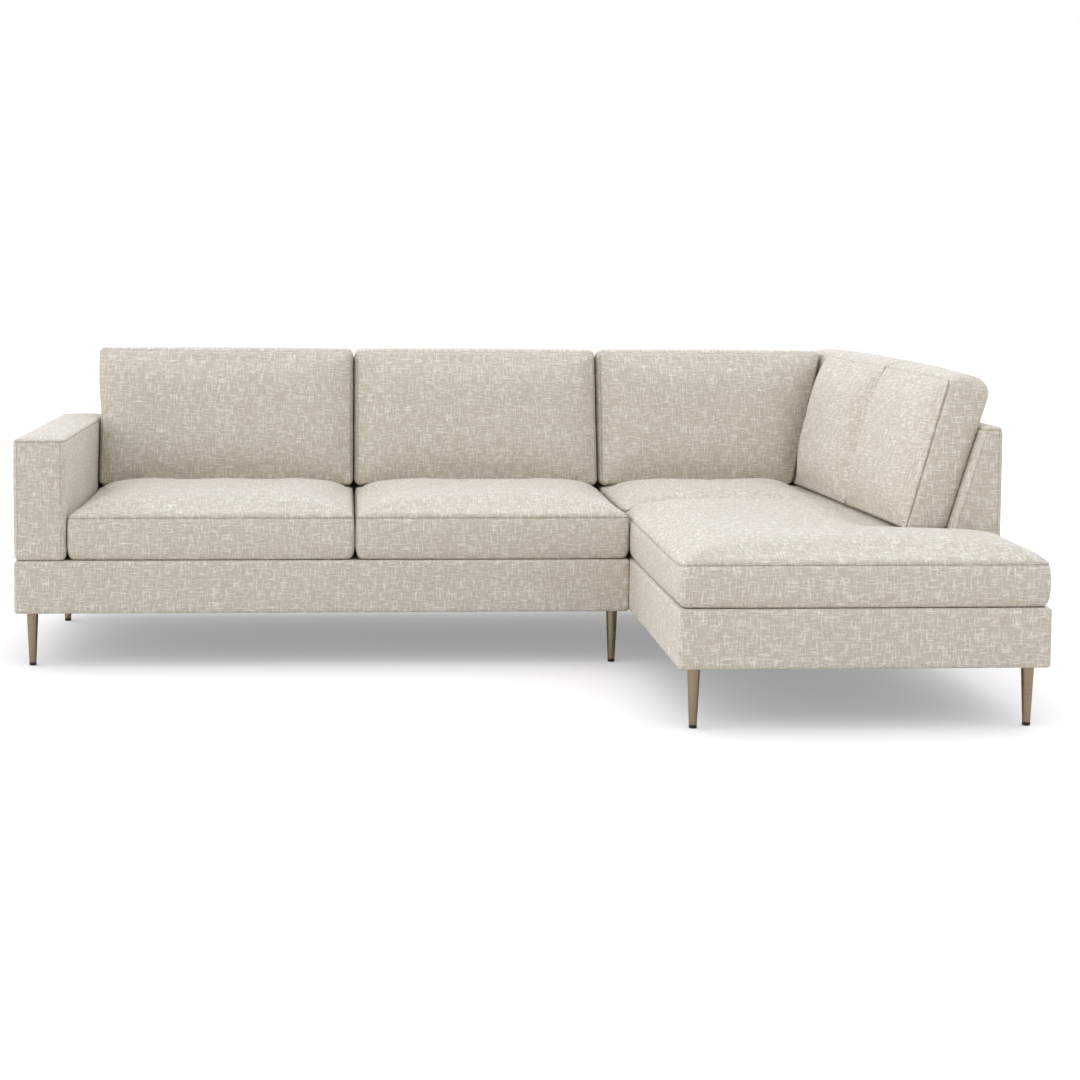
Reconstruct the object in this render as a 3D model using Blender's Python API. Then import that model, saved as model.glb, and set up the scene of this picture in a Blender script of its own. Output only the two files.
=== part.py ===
"""Sectional sofa: a two-seat section with a left arm, joined to a corner chaise on the right.

Metres, +Z up, +X to the sitter's left-to-right as seen from the front, +Y towards the back.
The origin is on the floor under the middle of the outline.
"""

import math

import bmesh
import bpy
from mathutils import Vector

# Overall sizes
LOVESEAT_WIDTH = 1.650
CHAISE_WIDTH = 0.885
SOFA_DEPTH = 0.940
CHAISE_DEPTH = 1.740
LEG_HEIGHT = 0.145
BASE_HEIGHT = 0.142
ARM_TOP = 0.613
ARM_WIDTH = 0.137
BACK_TOP = 0.683
RETURN_LENGTH = 1.360

# Clearances
CONTACT_GAP = 0.0003
MODULE_GAP = 0.0006
CUSHION_GAP = 0.0015
CUSHION_END_GAP = 0.0030
STUD_CLEARANCE = 0.0005

# Upholstered backs, which lean on the inside only
BACK_TOP_THICKNESS = 0.050
BACK_RAKE = math.radians(17)
COVER_WALL = 0.014
COVER_ROUNDING = 0.009
FRAME_MEMBER = 0.045
ARM_POSTS = 4
ARM_FRAME_THICKNESS = 0.030
BACK_POSTS = {"loveseat": 6, "corner": 4, "return": 6}

# Base rails and what they carry
RAIL_THICKNESS = 0.028
REBATE_WIDTH = 0.012
REBATE_DEPTH = 0.014
WEBBING_THICKNESS = 0.003
STRAP_WIDTH = 0.050
LOVESEAT_STRAPS = (8, 4)
CHAISE_STRAPS = (5, 8)
CROSS_RAIL_WIDTH = 0.030
CROSS_RAIL_HEIGHT = 0.070
DUST_COVER_THICKNESS = 0.0015
DUST_COVER_INSET = 0.024

# Legs
LEG_INSET = 0.043
ARM_REAR_LEG_INSET = 0.215
LEG_TOP_RADIUS = 0.0145
LEG_FOOT_RADIUS = 0.0095
LEG_SIDES = 16
STUD_RADIUS = 0.004
STUD_LENGTH = 0.030
LEG_BLOCK_SIZE = 0.080
LEG_BLOCK_HEIGHT = 0.038
GLIDE_HEIGHT = 0.008
GLIDE_STEM_RADIUS = 0.004
GLIDE_STEM_LENGTH = 0.012
GLIDE_EDGE = 0.0015

# Plates that lock the two sections together under the rails
CONNECTOR_THICKNESS = 0.003
CONNECTOR_WIDTH = 0.050
CONNECTOR_REACH = 0.020
CONNECTOR_CLEARANCE = 0.0010

# Seat cushions
SEAT_BOXING = 0.125
SEAT_CROWN = 0.036
LEFT_SEAT_WIDTH = 0.768
SEAT_FRONT_SETBACK = 0.002
SEAT_FRONT_REACH = 0.200
SEAT_SIDE_REACH = 0.140
CORNER_SEAT_SETBACK = 0.150
PRESS_MARGIN = 0.016
PRESS_REACH = 0.100

# Back cushions
BACK_CUSHION_HEIGHT = 0.395
BACK_CUSHION_BOXING = 0.130
BACK_CROWN = 0.042
BACK_CROWN_REACH = 0.150
RETURN_CORNER_BOXING = 0.158
RETURN_FRONT_BOXING = 0.114
RETURN_CUSHION_SETBACK = 0.050

# All cushions
CORNER_RADIUS = 0.030
EDGE_ROUNDING = 0.012
SIDE_DRAW = 0.004
CUSHION_CELL = 0.075

# What follows from them
BASE_TOP = LEG_HEIGHT + BASE_HEIGHT
SEAT_BOTTOM = BASE_TOP + CONTACT_GAP
SEAT_TOP = SEAT_BOTTOM + SEAT_BOXING
BACK_CUSHION_BOTTOM = SEAT_TOP + CONTACT_GAP
CHAISE_LEFT = LOVESEAT_WIDTH + MODULE_GAP
OVERALL_WIDTH = CHAISE_LEFT + CHAISE_WIDTH
CORNER_SEAT_FRONT = CHAISE_DEPTH - SOFA_DEPTH + CORNER_SEAT_SETBACK
CONNECTOR_Y = CHAISE_DEPTH - SOFA_DEPTH / 2


def clear_scene():
    """Removes whatever the scene holds, so that only the sofa is in it."""
    for thing in list(bpy.data.objects):
        bpy.data.objects.remove(thing, do_unlink=True)


def make_material(name, colour, roughness, metallic=0.0):
    """A plain Principled material in a piece's own colour."""
    made = bpy.data.materials.new(name)
    made.use_nodes = True
    shader = made.node_tree.nodes["Principled BSDF"]
    shader.inputs["Base Color"].default_value = (*colour, 1.0)
    shader.inputs["Roughness"].default_value = roughness
    shader.inputs["Metallic"].default_value = metallic
    return made


def add_object(name, mesh, finish, parent, location=(0, 0, 0), turn=0.0):
    """Puts a mesh in the scene under its section's empty, and gives it its finish."""
    made = bpy.data.objects.new(name, mesh)
    bpy.context.scene.collection.objects.link(made)
    made.parent = parent
    made.location = location
    made.rotation_euler = (0.0, 0.0, turn)
    colour, roughness, metallic = finish
    mesh.materials.append(make_material(name, colour, roughness, metallic))
    return made


def add_section(name, location):
    """An empty that a section's pieces are parented to."""
    made = bpy.data.objects.new(name, None)
    bpy.context.scene.collection.objects.link(made)
    made.location = location
    return made


def mesh_from(name, points, faces):
    """A mesh with its faces turned outwards."""
    shape = bmesh.new()
    corners = [shape.verts.new(point) for point in points]
    for face in faces:
        shape.faces.new([corners[index] for index in face])
    bmesh.ops.recalc_face_normals(shape, faces=shape.faces)
    mesh = bpy.data.meshes.new(name)
    shape.to_mesh(mesh)
    shape.free()
    return mesh


def smooth_round_faces(mesh):
    mesh.shade_smooth()
    mesh.set_sharp_from_angle(angle=math.radians(40))


# Flat and blocky pieces


def hexahedron_mesh(name, low, high):
    """Eight corners: four (x, y) at the bottom's height and four at the top's."""
    (bottom_z, bottom), (top_z, top) = low, high
    points = [(x, y, bottom_z) for x, y in bottom] + [(x, y, top_z) for x, y in top]
    sides = [(i, (i + 1) % 4, (i + 1) % 4 + 4, i + 4) for i in range(4)]
    return mesh_from(name, points, [(3, 2, 1, 0), (4, 5, 6, 7), *sides])


def box_mesh(name, low, high):
    outline = [(low[0], low[1]), (high[0], low[1]), (high[0], high[1]), (low[0], high[1])]
    return hexahedron_mesh(name, (low[2], outline), (high[2], outline))


def prism_mesh(name, outline, length, place):
    """An outline drawn in two directions and carried along a third by place(a, b, distance)."""
    count = len(outline)
    points = [place(a, b, 0.0) for a, b in outline] + [place(a, b, length) for a, b in outline]
    sides = [(i, (i + 1) % count, (i + 1) % count + count, i + count) for i in range(count)]
    return mesh_from(name, points, [tuple(range(count)), tuple(range(count, 2 * count)), *sides])


def round_upper_edges(mesh, width):
    """Rounds every edge that doesn't lie on the piece's underside."""
    shape = bmesh.new()
    shape.from_mesh(mesh)
    floor = min(corner.co.z for corner in shape.verts)
    upper = [e for e in shape.edges if max(c.co.z for c in e.verts) > floor + width]
    bmesh.ops.bevel(shape, geom=upper, offset=width, segments=2, profile=0.5, affect="EDGES")
    shape.to_mesh(mesh)
    shape.free()


# Bodies made of grid cells, which serve for cushions, webbing and frames


def spaced(start, end, step):
    """Even positions from start to end, about a step apart."""
    count = max(1, round((end - start) / step))
    return [start + (end - start) * i / count for i in range(count + 1)]


def boundary_steps(kept):
    """Each grid point on the outline, with the next one round it anticlockwise."""
    following = {}
    for i, j in kept:
        ring = [(i, j), (i + 1, j), (i + 1, j + 1), (i, j + 1)]
        beyond = [(i, j - 1), (i + 1, j), (i, j + 1), (i - 1, j)]
        for side in range(4):
            if beyond[side] not in kept:
                following[ring[side]] = ring[(side + 1) % 4]
    return following


def outward_normals(flat, following):
    """The direction out of the outline at each of its points."""
    before = {end: start for start, end in following.items()}
    normals = {}
    for point, after in following.items():
        along = (flat[after] - flat[point]).normalized() + (flat[point] - flat[before[point]]).normalized()
        normals[point] = Vector((along.y, -along.x)).normalized()
    return normals


def cells_mesh(name, grid, kept, rings, plan, rise, place, merge_base):
    """A closed body over the kept cells of a grid.

    rings gives (inset, height) round the outline, from the top face's edge to the base.
    plan moves a grid point in the plane, rise lifts it on the top face, and place carries it to the piece.
    """
    across, along = grid
    corners = {(i + a, j + b) for i, j in kept for a in (0, 1) for b in (0, 1)}
    flat = {(i, j): Vector(plan(across[i], along[j])) for i, j in corners}
    following = boundary_steps(kept)
    normals = outward_normals(flat, following)
    shape = bmesh.new()

    def layer(inset, height, lift, points):
        made = {}
        for point in points:
            at = flat[point] - normals.get(point, Vector((0, 0))) * inset
            up = rise(across[point[0]], along[point[1]]) if lift else 0.0
            made[point] = shape.verts.new(place(at.x, at.y, height + up))
        return made

    top = layer(*rings[0], True, sorted(corners))
    bottom = layer(*rings[-1], False, sorted(corners))
    walls = [top] + [layer(*ring, False, sorted(following)) for ring in rings[1:-1]] + [bottom]
    base_faces = []
    for i, j in sorted(kept):
        ring = [(i, j), (i + 1, j), (i + 1, j + 1), (i, j + 1)]
        shape.faces.new([top[point] for point in ring])
        base_faces.append(shape.faces.new([bottom[point] for point in reversed(ring)]))
    for upper, lower in zip(walls, walls[1:]):
        for point, after in sorted(following.items()):
            shape.faces.new([upper[point], lower[point], lower[after], upper[after]])
    if merge_base:
        bmesh.ops.dissolve_faces(shape, faces=base_faces, use_verts=True)
    bmesh.ops.recalc_face_normals(shape, faces=shape.faces)
    mesh = bpy.data.meshes.new(name)
    shape.to_mesh(mesh)
    shape.free()
    return mesh


def lattice_mesh(name, across, along, thickness, place):
    """Crossing members: the grid's even columns and even rows, with open bays between them."""
    columns, rows = range(len(across) - 1), range(len(along) - 1)
    kept = {(i, j) for i in columns for j in rows if i % 2 == 0 or j % 2 == 0}
    rings = [(0.0, thickness), (0.0, 0.0)]
    return cells_mesh(
        name, (across, along), kept, rings, lambda u, v: (u, v), lambda u, v: 0.0, place, False
    )


def member_lines(length, member, count):
    """Both edges of each of count members, spread from one end of a length to the other."""
    pitch = (length - member) / (count - 1)
    return [pitch * i + edge for i in range(count) for edge in (0.0, member)]


# Base of one section


def rail_outline():
    """A rail's cross-section, outer face first, with the rebate that the deck lies in."""
    step = BASE_HEIGHT - REBATE_DEPTH
    inner = RAIL_THICKNESS - REBATE_WIDTH
    return [
        (0.0, 0.0),
        (RAIL_THICKNESS, 0.0),
        (RAIL_THICKNESS, step),
        (inner, step),
        (inner, BASE_HEIGHT),
        (0.0, BASE_HEIGHT),
    ]


def add_rails(section, prefix, width, depth):
    side_start = RAIL_THICKNESS + CONTACT_GAP
    side_length = depth - 2 * side_start
    outline = rail_outline()

    def front(a, b, distance):
        return (distance, a, LEG_HEIGHT + b)

    def rear(a, b, distance):
        return (distance, depth - a, LEG_HEIGHT + b)

    def left(a, b, distance):
        return (a, side_start + distance, LEG_HEIGHT + b)

    def right(a, b, distance):
        return (width - a, side_start + distance, LEG_HEIGHT + b)

    lengths = {"front": width, "rear": width, "left": side_length, "right": side_length}
    places = {"front": front, "rear": rear, "left": left, "right": right}
    for side, place in places.items():
        name = f"{prefix}_{side}_rail"
        mesh = prism_mesh(name, outline, lengths[side], place)
        add_object(name, mesh, UPHOLSTERED_WOOD, section)


def add_cross_rail(section, prefix, width, depth):
    """A stretcher from front rail to rear rail, under the middle of the webbing."""
    top = BASE_TOP - REBATE_DEPTH
    start = RAIL_THICKNESS + CONTACT_GAP
    low = (width / 2 - CROSS_RAIL_WIDTH / 2, start, top - CROSS_RAIL_HEIGHT)
    high = (width / 2 + CROSS_RAIL_WIDTH / 2, depth - start, top)
    name = f"{prefix}_cross_rail"
    add_object(name, box_mesh(name, low, high), WOOD, section)


def add_webbing(section, prefix, width, depth, straps):
    edge = RAIL_THICKNESS - REBATE_WIDTH + CONTACT_GAP
    base = BASE_TOP - REBATE_DEPTH + CONTACT_GAP
    across = member_lines(width - 2 * edge, STRAP_WIDTH, straps[0])
    along = member_lines(depth - 2 * edge, STRAP_WIDTH, straps[1])
    name = f"{prefix}_webbing"
    mesh = lattice_mesh(
        name, across, along, WEBBING_THICKNESS, lambda u, v, w: (edge + u, edge + v, base + w)
    )
    add_object(name, mesh, WEBBING, section)


def add_deck(section, prefix, width, depth):
    """The padded platform cloth that fills the rebate over the webbing."""
    edge = RAIL_THICKNESS - REBATE_WIDTH + CONTACT_GAP
    low = (edge, edge, BASE_TOP - REBATE_DEPTH + WEBBING_THICKNESS + 2 * CONTACT_GAP)
    high = (width - edge, depth - edge, BASE_TOP - CONTACT_GAP)
    name = f"{prefix}_deck"
    add_object(name, box_mesh(name, low, high), DECK_CLOTH, section)


def leg_places(prefix, width, depth):
    """Where a section's four legs stand, by name. The one behind the arm stands further forward."""
    left, right = LEG_INSET, width - LEG_INSET
    front, rear = LEG_INSET, depth - LEG_INSET
    behind_arm = depth - ARM_REAR_LEG_INSET
    return {
        "front_left": (left, front),
        "front_right": (right, front),
        "rear_left": (left, behind_arm if prefix == "loveseat" else rear),
        "rear_right": (right, rear),
    }


def add_dust_cover(section, prefix, width, depth):
    """The black cloth under the base, with a hole for each leg's stud."""
    top = LEG_HEIGHT - CONTACT_GAP
    low = (DUST_COVER_INSET, DUST_COVER_INSET, top - DUST_COVER_THICKNESS)
    high = (width - DUST_COVER_INSET, depth - DUST_COVER_INSET, top)
    name = f"{prefix}_dust_cover"
    cover = add_object(name, box_mesh(name, low, high), DUST_CLOTH, section)
    reach = 4 * DUST_COVER_THICKNESS
    for corner, (x, y) in leg_places(prefix, width, depth).items():
        profile = [(0.0, -reach), (stud_hole_radius(), -reach), (stud_hole_radius(), reach), (0.0, reach)]
        cutter_name = f"{prefix}_{corner}_stud_cutter"
        cutter = add_object(
            cutter_name, turned_mesh(cutter_name, profile, LEG_SIDES), DUST_CLOTH, section, (x, y, top)
        )
        hide_helper(cutter)
        cut = cover.modifiers.new(f"{corner}_stud_hole", "BOOLEAN")
        cut.operation = "DIFFERENCE"
        cut.solver = "EXACT"
        cut.object = cutter


def hide_helper(helper):
    helper.hide_render = True
    helper.display_type = "WIRE"


# Legs


def turned_mesh(name, profile, sides):
    """A lathe form from (radius, height) points that start and end on the axis."""
    points = []
    rings = []
    for radius, height in profile:
        count = sides if radius > 0 else 1
        rings.append([len(points) + i for i in range(count)])
        for i in range(count):
            angle = 2 * math.pi * i / sides
            points.append((radius * math.cos(angle), radius * math.sin(angle), height))
    faces = []
    for lower, upper in zip(rings, rings[1:]):
        for i in range(sides):
            after = (i + 1) % sides
            corners = [lower[i % len(lower)], lower[after % len(lower)]]
            corners += [upper[after % len(upper)], upper[i % len(upper)]]
            faces.append(tuple(dict.fromkeys(corners)))
    return mesh_from(name, points, faces)


def stud_hole_radius():
    return STUD_RADIUS + STUD_CLEARANCE


def leg_mesh(name):
    """A tapered leg with its threaded stud above and the glide's hole below."""
    top = LEG_HEIGHT - DUST_COVER_THICKNESS - 2 * CONTACT_GAP
    foot = GLIDE_HEIGHT + CONTACT_GAP
    hole_radius = GLIDE_STEM_RADIUS + CONTACT_GAP
    hole_top = GLIDE_HEIGHT + GLIDE_STEM_LENGTH + CONTACT_GAP
    profile = [
        (0.0, hole_top),
        (hole_radius, hole_top),
        (hole_radius, foot),
        (LEG_FOOT_RADIUS, foot),
        (LEG_TOP_RADIUS, top),
        (STUD_RADIUS, top),
        (STUD_RADIUS, top + STUD_LENGTH),
        (0.0, top + STUD_LENGTH),
    ]
    mesh = turned_mesh(name, profile, LEG_SIDES)
    smooth_round_faces(mesh)
    return mesh


def glide_mesh(name):
    """The dark foot at the leg's tip, pushed into it by a stem."""
    profile = [
        (0.0, 0.0),
        (LEG_FOOT_RADIUS - GLIDE_EDGE, 0.0),
        (LEG_FOOT_RADIUS, GLIDE_EDGE),
        (LEG_FOOT_RADIUS, GLIDE_HEIGHT),
        (GLIDE_STEM_RADIUS, GLIDE_HEIGHT),
        (GLIDE_STEM_RADIUS, GLIDE_HEIGHT + GLIDE_STEM_LENGTH),
        (0.0, GLIDE_HEIGHT + GLIDE_STEM_LENGTH),
    ]
    mesh = turned_mesh(name, profile, LEG_SIDES)
    smooth_round_faces(mesh)
    return mesh


def bored_block_mesh(name, low, high, centre, base, height, bore):
    """A block with a round hole up through it, off its middle, for the leg's stud."""
    x, y = centre
    sides = [
        (high[0], y), (high[0], high[1]), (x, high[1]), (low[0], high[1]),
        (low[0], y), (low[0], low[1]), (x, low[1]), (high[0], low[1]),
    ]
    count = len(sides)
    angles = [2 * math.pi * i / count for i in range(count)]
    hole = [(x + bore * math.cos(a), y + bore * math.sin(a)) for a in angles]
    rings = [(hole, base), (sides, base), (sides, base + height), (hole, base + height)]
    points = [(px, py, z) for ring, z in rings for px, py in ring]
    faces = []
    for ring in range(4):
        first, second = ring * count, (ring + 1) % 4 * count
        for i in range(count):
            after = (i + 1) % count
            faces.append((first + i, first + after, second + after, second + i))
    return mesh_from(name, points, faces)


def add_legs(section, prefix, width, depth):
    """Each leg with its glide, and the block inside the rails that its stud screws into."""
    start = RAIL_THICKNESS + CONTACT_GAP
    bore = stud_hole_radius() / math.cos(math.pi / 8)
    for corner, (x, y) in leg_places(prefix, width, depth).items():
        name = f"{prefix}_{corner}_leg"
        add_object(name, leg_mesh(name), BRONZE, section, (x, y, 0.0))
        name = f"{prefix}_{corner}_glide"
        add_object(name, glide_mesh(name), DARK_NYLON, section, (x, y, 0.0))
        name = f"{prefix}_{corner}_leg_block"
        left = start if x < width / 2 else width - start - LEG_BLOCK_SIZE
        rearmost = depth - start - LEG_BLOCK_SIZE
        front = start if y < depth / 2 else min(y - LEG_BLOCK_SIZE / 2, rearmost)
        low, high = (left, front), (left + LEG_BLOCK_SIZE, front + LEG_BLOCK_SIZE)
        mesh = bored_block_mesh(name, low, high, (x, y), LEG_HEIGHT, LEG_BLOCK_HEIGHT, bore)
        add_object(name, mesh, WOOD, section)


# Arm and backs: a padded cover over a wooden frame


def hollow_from_below(cover, cavity_mesh, section, location=(0, 0, 0), turn=0.0):
    """Opens a cover from its underside, where the frame goes in."""
    cavity = add_object(f"{cover.name}_cavity", cavity_mesh, WOOD, section, location, turn)
    hide_helper(cavity)
    cut = cover.modifiers.new("frame_space", "BOOLEAN")
    cut.operation = "DIFFERENCE"
    cut.solver = "EXACT"
    cut.object = cavity


def add_arm(section):
    low = (0.0, 0.0, SEAT_BOTTOM)
    high = (ARM_WIDTH, SOFA_DEPTH, ARM_TOP)
    mesh = box_mesh("left_arm_cover", low, high)
    round_upper_edges(mesh, COVER_ROUNDING)
    cover = add_object("left_arm_cover", mesh, FABRIC, section)
    cavity_low = (COVER_WALL, COVER_WALL, SEAT_BOTTOM - COVER_WALL)
    cavity_high = (ARM_WIDTH - COVER_WALL, SOFA_DEPTH - COVER_WALL, ARM_TOP - COVER_WALL)
    hollow_from_below(cover, box_mesh("left_arm_cavity", cavity_low, cavity_high), section)

    inset = COVER_WALL + CONTACT_GAP
    length = SOFA_DEPTH - 2 * inset
    height = ARM_TOP - inset - SEAT_BOTTOM
    mesh = lattice_mesh(
        "left_arm_frame",
        member_lines(length, FRAME_MEMBER, ARM_POSTS),
        member_lines(height, FRAME_MEMBER, 2),
        ARM_FRAME_THICKNESS,
        lambda u, v, w: (inset + w, inset + u, SEAT_BOTTOM + v),
    )
    add_object("left_arm_frame", mesh, WOOD, section)


def back_thickness(height):
    """How thick a back is at a height: it widens downwards by its rake."""
    return BACK_TOP_THICKNESS + (BACK_TOP - height) * math.tan(BACK_RAKE)


def back_shape(name, length, end_slope, bottom, top, inset):
    """A back's wedge, rear face on y = 0. end_slope leans its right end outwards as it rises."""
    slanted = inset / math.cos(BACK_RAKE)
    levels = []
    for height in (bottom, top):
        end = length + (height - SEAT_BOTTOM) * end_slope - inset
        front = -back_thickness(height) + slanted
        levels.append((height, [(inset, front), (end, front), (end, -inset), (inset, -inset)]))
    return hexahedron_mesh(name, *levels)


def add_back(section, prefix, location, length, turn=0.0, end_slope=0.0):
    """A raked back: its padded cover, open below, and the wooden frame that stands in it."""
    name = f"{prefix}_back_cover"
    mesh = back_shape(name, length, end_slope, SEAT_BOTTOM, BACK_TOP, 0.0)
    round_upper_edges(mesh, COVER_ROUNDING)
    cover = add_object(name, mesh, FABRIC, section, location, turn)
    cavity = back_shape(
        f"{name}_cavity", length, end_slope, SEAT_BOTTOM - COVER_WALL, BACK_TOP - COVER_WALL, COVER_WALL
    )
    hollow_from_below(cover, cavity, section, location, turn)

    inset = COVER_WALL + CONTACT_GAP
    slanted = inset / math.cos(BACK_RAKE)
    frame_top = BACK_TOP - inset
    thickness = back_thickness(frame_top) - inset - slanted
    name = f"{prefix}_back_frame"
    end_inset = inset + end_slope * COVER_WALL
    mesh = lattice_mesh(
        name,
        member_lines(length - inset - end_inset, FRAME_MEMBER, BACK_POSTS[prefix]),
        member_lines(frame_top - SEAT_BOTTOM, FRAME_MEMBER, 2),
        thickness,
        lambda u, v, w: (inset + u, -inset - w, SEAT_BOTTOM + v),
    )
    add_object(name, mesh, WOOD, section, location, turn)


# Cushions


def ease(distance, reach):
    """0 at an edge, rising to 1 at its reach, steep first and level at the end."""
    return math.sin(math.pi / 2 * min(1.0, max(0.0, distance / reach)))


def distance_to(rectangle, u, v):
    """How far a point is from a rectangle (u low, u high, v low, v high)."""
    low_u, high_u, low_v, high_v = rectangle
    return math.hypot(max(low_u - u, 0.0, u - high_u), max(low_v - v, 0.0, v - high_v))


def round_corner(u, v, corner):
    """Carries points near one square corner onto a round one."""
    corner_u, corner_v, inward_u, inward_v = corner
    p = CORNER_RADIUS - (u - corner_u) * inward_u
    q = CORNER_RADIUS - (v - corner_v) * inward_v
    if not (0 <= p <= CORNER_RADIUS + 1e-9 and 0 <= q <= CORNER_RADIUS + 1e-9) or max(p, q) < 1e-9:
        return u, v
    far = max(p, q)
    angle = math.pi / 4 * (q / p) if p >= q else math.pi / 2 - math.pi / 4 * (p / q)
    u = corner_u + inward_u * (CORNER_RADIUS - far * math.cos(angle))
    v = corner_v + inward_v * (CORNER_RADIUS - far * math.sin(angle))
    return u, v


def cushion_lines(stops, creases):
    """Grid positions from the first stop to the last.

    They lie closer together beside each stop, where corners are rounded, and one lies on each crease.
    """
    fixed = set(stops)
    for start, end in zip(stops, stops[1:]):
        inner = (start + CORNER_RADIUS, end - CORNER_RADIUS)
        fixed |= {start + CORNER_RADIUS / 2, *inner, end - CORNER_RADIUS / 2}
        fixed |= {crease for crease in creases if inner[0] < crease < inner[1]}
    ordered = sorted(fixed)
    lines = ordered[:1]
    for start, end in zip(ordered, ordered[1:]):
        lines += spaced(start, end, CUSHION_CELL)[1:]
    return lines


def cushion_mesh(name, size, boxing, crown, place, pressed=(), notch=None):
    """A boxed cushion: flat below, crowned above, its corners round and its sides drawn in.

    crown gives (height, left reach, right reach, near reach, far reach).
    pressed lists rectangles where something lies on the cushion, so that it stays flat there.
    notch gives the (u, v) from which the far right part is missing.
    """
    width, length = size
    rise_height, *reaches = crown
    stops_u, stops_v = [0.0, width], [0.0, length]
    corners = [(0.0, 0.0, 1, 1), (width, 0.0, -1, 1), (0.0, length, 1, -1)]
    if notch:
        stops_u.insert(1, notch[0])
        stops_v.insert(1, notch[1])
        corners += [(width, notch[1], -1, -1), (notch[0], length, -1, -1)]
        pressed = [*pressed, (notch[0], width, notch[1], length)]
    else:
        corners.append((width, length, -1, -1))
    across = cushion_lines(stops_u, {edge for low, high, _, _ in pressed for edge in (low, high)})
    along = cushion_lines(stops_v, {edge for _, _, low, high in pressed for edge in (low, high)})
    kept = {
        (i, j)
        for i in range(len(across) - 1)
        for j in range(len(along) - 1)
        if not (notch and across[i] >= notch[0] - 1e-9 and along[j] >= notch[1] - 1e-9)
    }

    def plan(u, v):
        for corner in corners:
            moved = round_corner(u, v, corner)
            if moved != (u, v):
                u, v = moved
                break
        drawn_u = SIDE_DRAW * (1 - 2 * u / width) * math.sin(math.pi * v / length)
        drawn_v = SIDE_DRAW * (1 - 2 * v / length) * math.sin(math.pi * u / width)
        return u + drawn_u, v + drawn_v

    def rise(u, v):
        edges = (u, width - u, v, length - v)
        share = 1.0
        for distance, reach in zip(edges, reaches):
            share *= ease(distance, reach)
        for rectangle in pressed:
            share *= ease(distance_to(rectangle, u, v), PRESS_REACH)
        return rise_height * share

    rings = [
        (EDGE_ROUNDING / 2, boxing),
        (0.0, boxing - EDGE_ROUNDING),
        (0.0, EDGE_ROUNDING),
        (EDGE_ROUNDING, 0.0),
    ]
    mesh = cells_mesh(name, (across, along), kept, rings, plan, rise, place, True)
    smooth_round_faces(mesh)
    return mesh


def cushion_rear():
    """How far in front of a back's rear face the lower rear edge of a back cushion lies."""
    return back_thickness(BACK_CUSHION_BOTTOM) + CONTACT_GAP / math.cos(BACK_RAKE)


def cushion_foot(boxing=BACK_CUSHION_BOXING):
    """How far in front of a back's rear face the foot of a back cushion reaches."""
    return cushion_rear() + boxing * math.cos(BACK_RAKE)


def seat_end():
    """How far in front of a back's rear face a seat cushion ends."""
    return back_thickness(SEAT_BOTTOM) + CUSHION_END_GAP


def add_seat_cushion(section, name, low, high, pressed=(), notch=None, right_reach=SEAT_SIDE_REACH):
    """A seat cushion over a rectangle of the deck. pressed and notch are in the section's own places."""
    size = (high[0] - low[0], high[1] - low[1])
    pressed = [
        (u0 - low[0], u1 - low[0], v0 - low[1], v1 - low[1]) for u0, u1, v0, v1 in pressed
    ]
    if notch:
        notch = (notch[0] - low[0], notch[1] - low[1])
    crown = (SEAT_CROWN, SEAT_SIDE_REACH, right_reach, SEAT_FRONT_REACH, SEAT_SIDE_REACH)
    mesh = cushion_mesh(
        name, size, SEAT_BOXING, crown, lambda x, y, z: (x, y, z), pressed, notch
    )
    return add_object(name, mesh, FABRIC, section, (low[0], low[1], SEAT_BOTTOM))


def add_back_cushion(
    section, name, location, span, turn=0.0, slopes=(0.0, 0.0), pressed=(), boxings=None
):
    """A cushion that leans on a raked back and stands on the seat.

    span is its start and end along the back, and slopes lean its two ends outwards as they rise.
    boxings are the thicknesses at its two ends, where they differ.
    """
    start, end = span
    width = end - start
    first, last = boxings or (BACK_CUSHION_BOXING, BACK_CUSHION_BOXING)

    def place(u, v, w):
        w *= (first + (last - first) * u / width) / BACK_CUSHION_BOXING
        rise = v * math.cos(BACK_RAKE) + w * math.sin(BACK_RAKE) * v / BACK_CUSHION_HEIGHT
        splay = rise * (slopes[1] * u / width - slopes[0] * (1 - u / width))
        lean = v * math.sin(BACK_RAKE) - w * math.cos(BACK_RAKE)
        return (start + u + splay, lean - cushion_rear(), BACK_CUSHION_BOTTOM + rise)

    crown = (BACK_CROWN, BACK_CROWN_REACH, BACK_CROWN_REACH, BACK_CROWN_REACH, BACK_CROWN_REACH)
    size = (width, BACK_CUSHION_HEIGHT)
    mesh = cushion_mesh(name, size, BACK_CUSHION_BOXING, crown, place, pressed)
    return add_object(name, mesh, FABRIC, section, location, turn)


def back_cushion_face_slope(boxing):
    """How far the front face of a back cushion of this thickness leans per metre of height."""
    tilt = boxing * math.sin(BACK_RAKE) / BACK_CUSHION_HEIGHT
    return math.sin(BACK_RAKE) / (math.cos(BACK_RAKE) + tilt)


# Plates that join the sections


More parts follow.
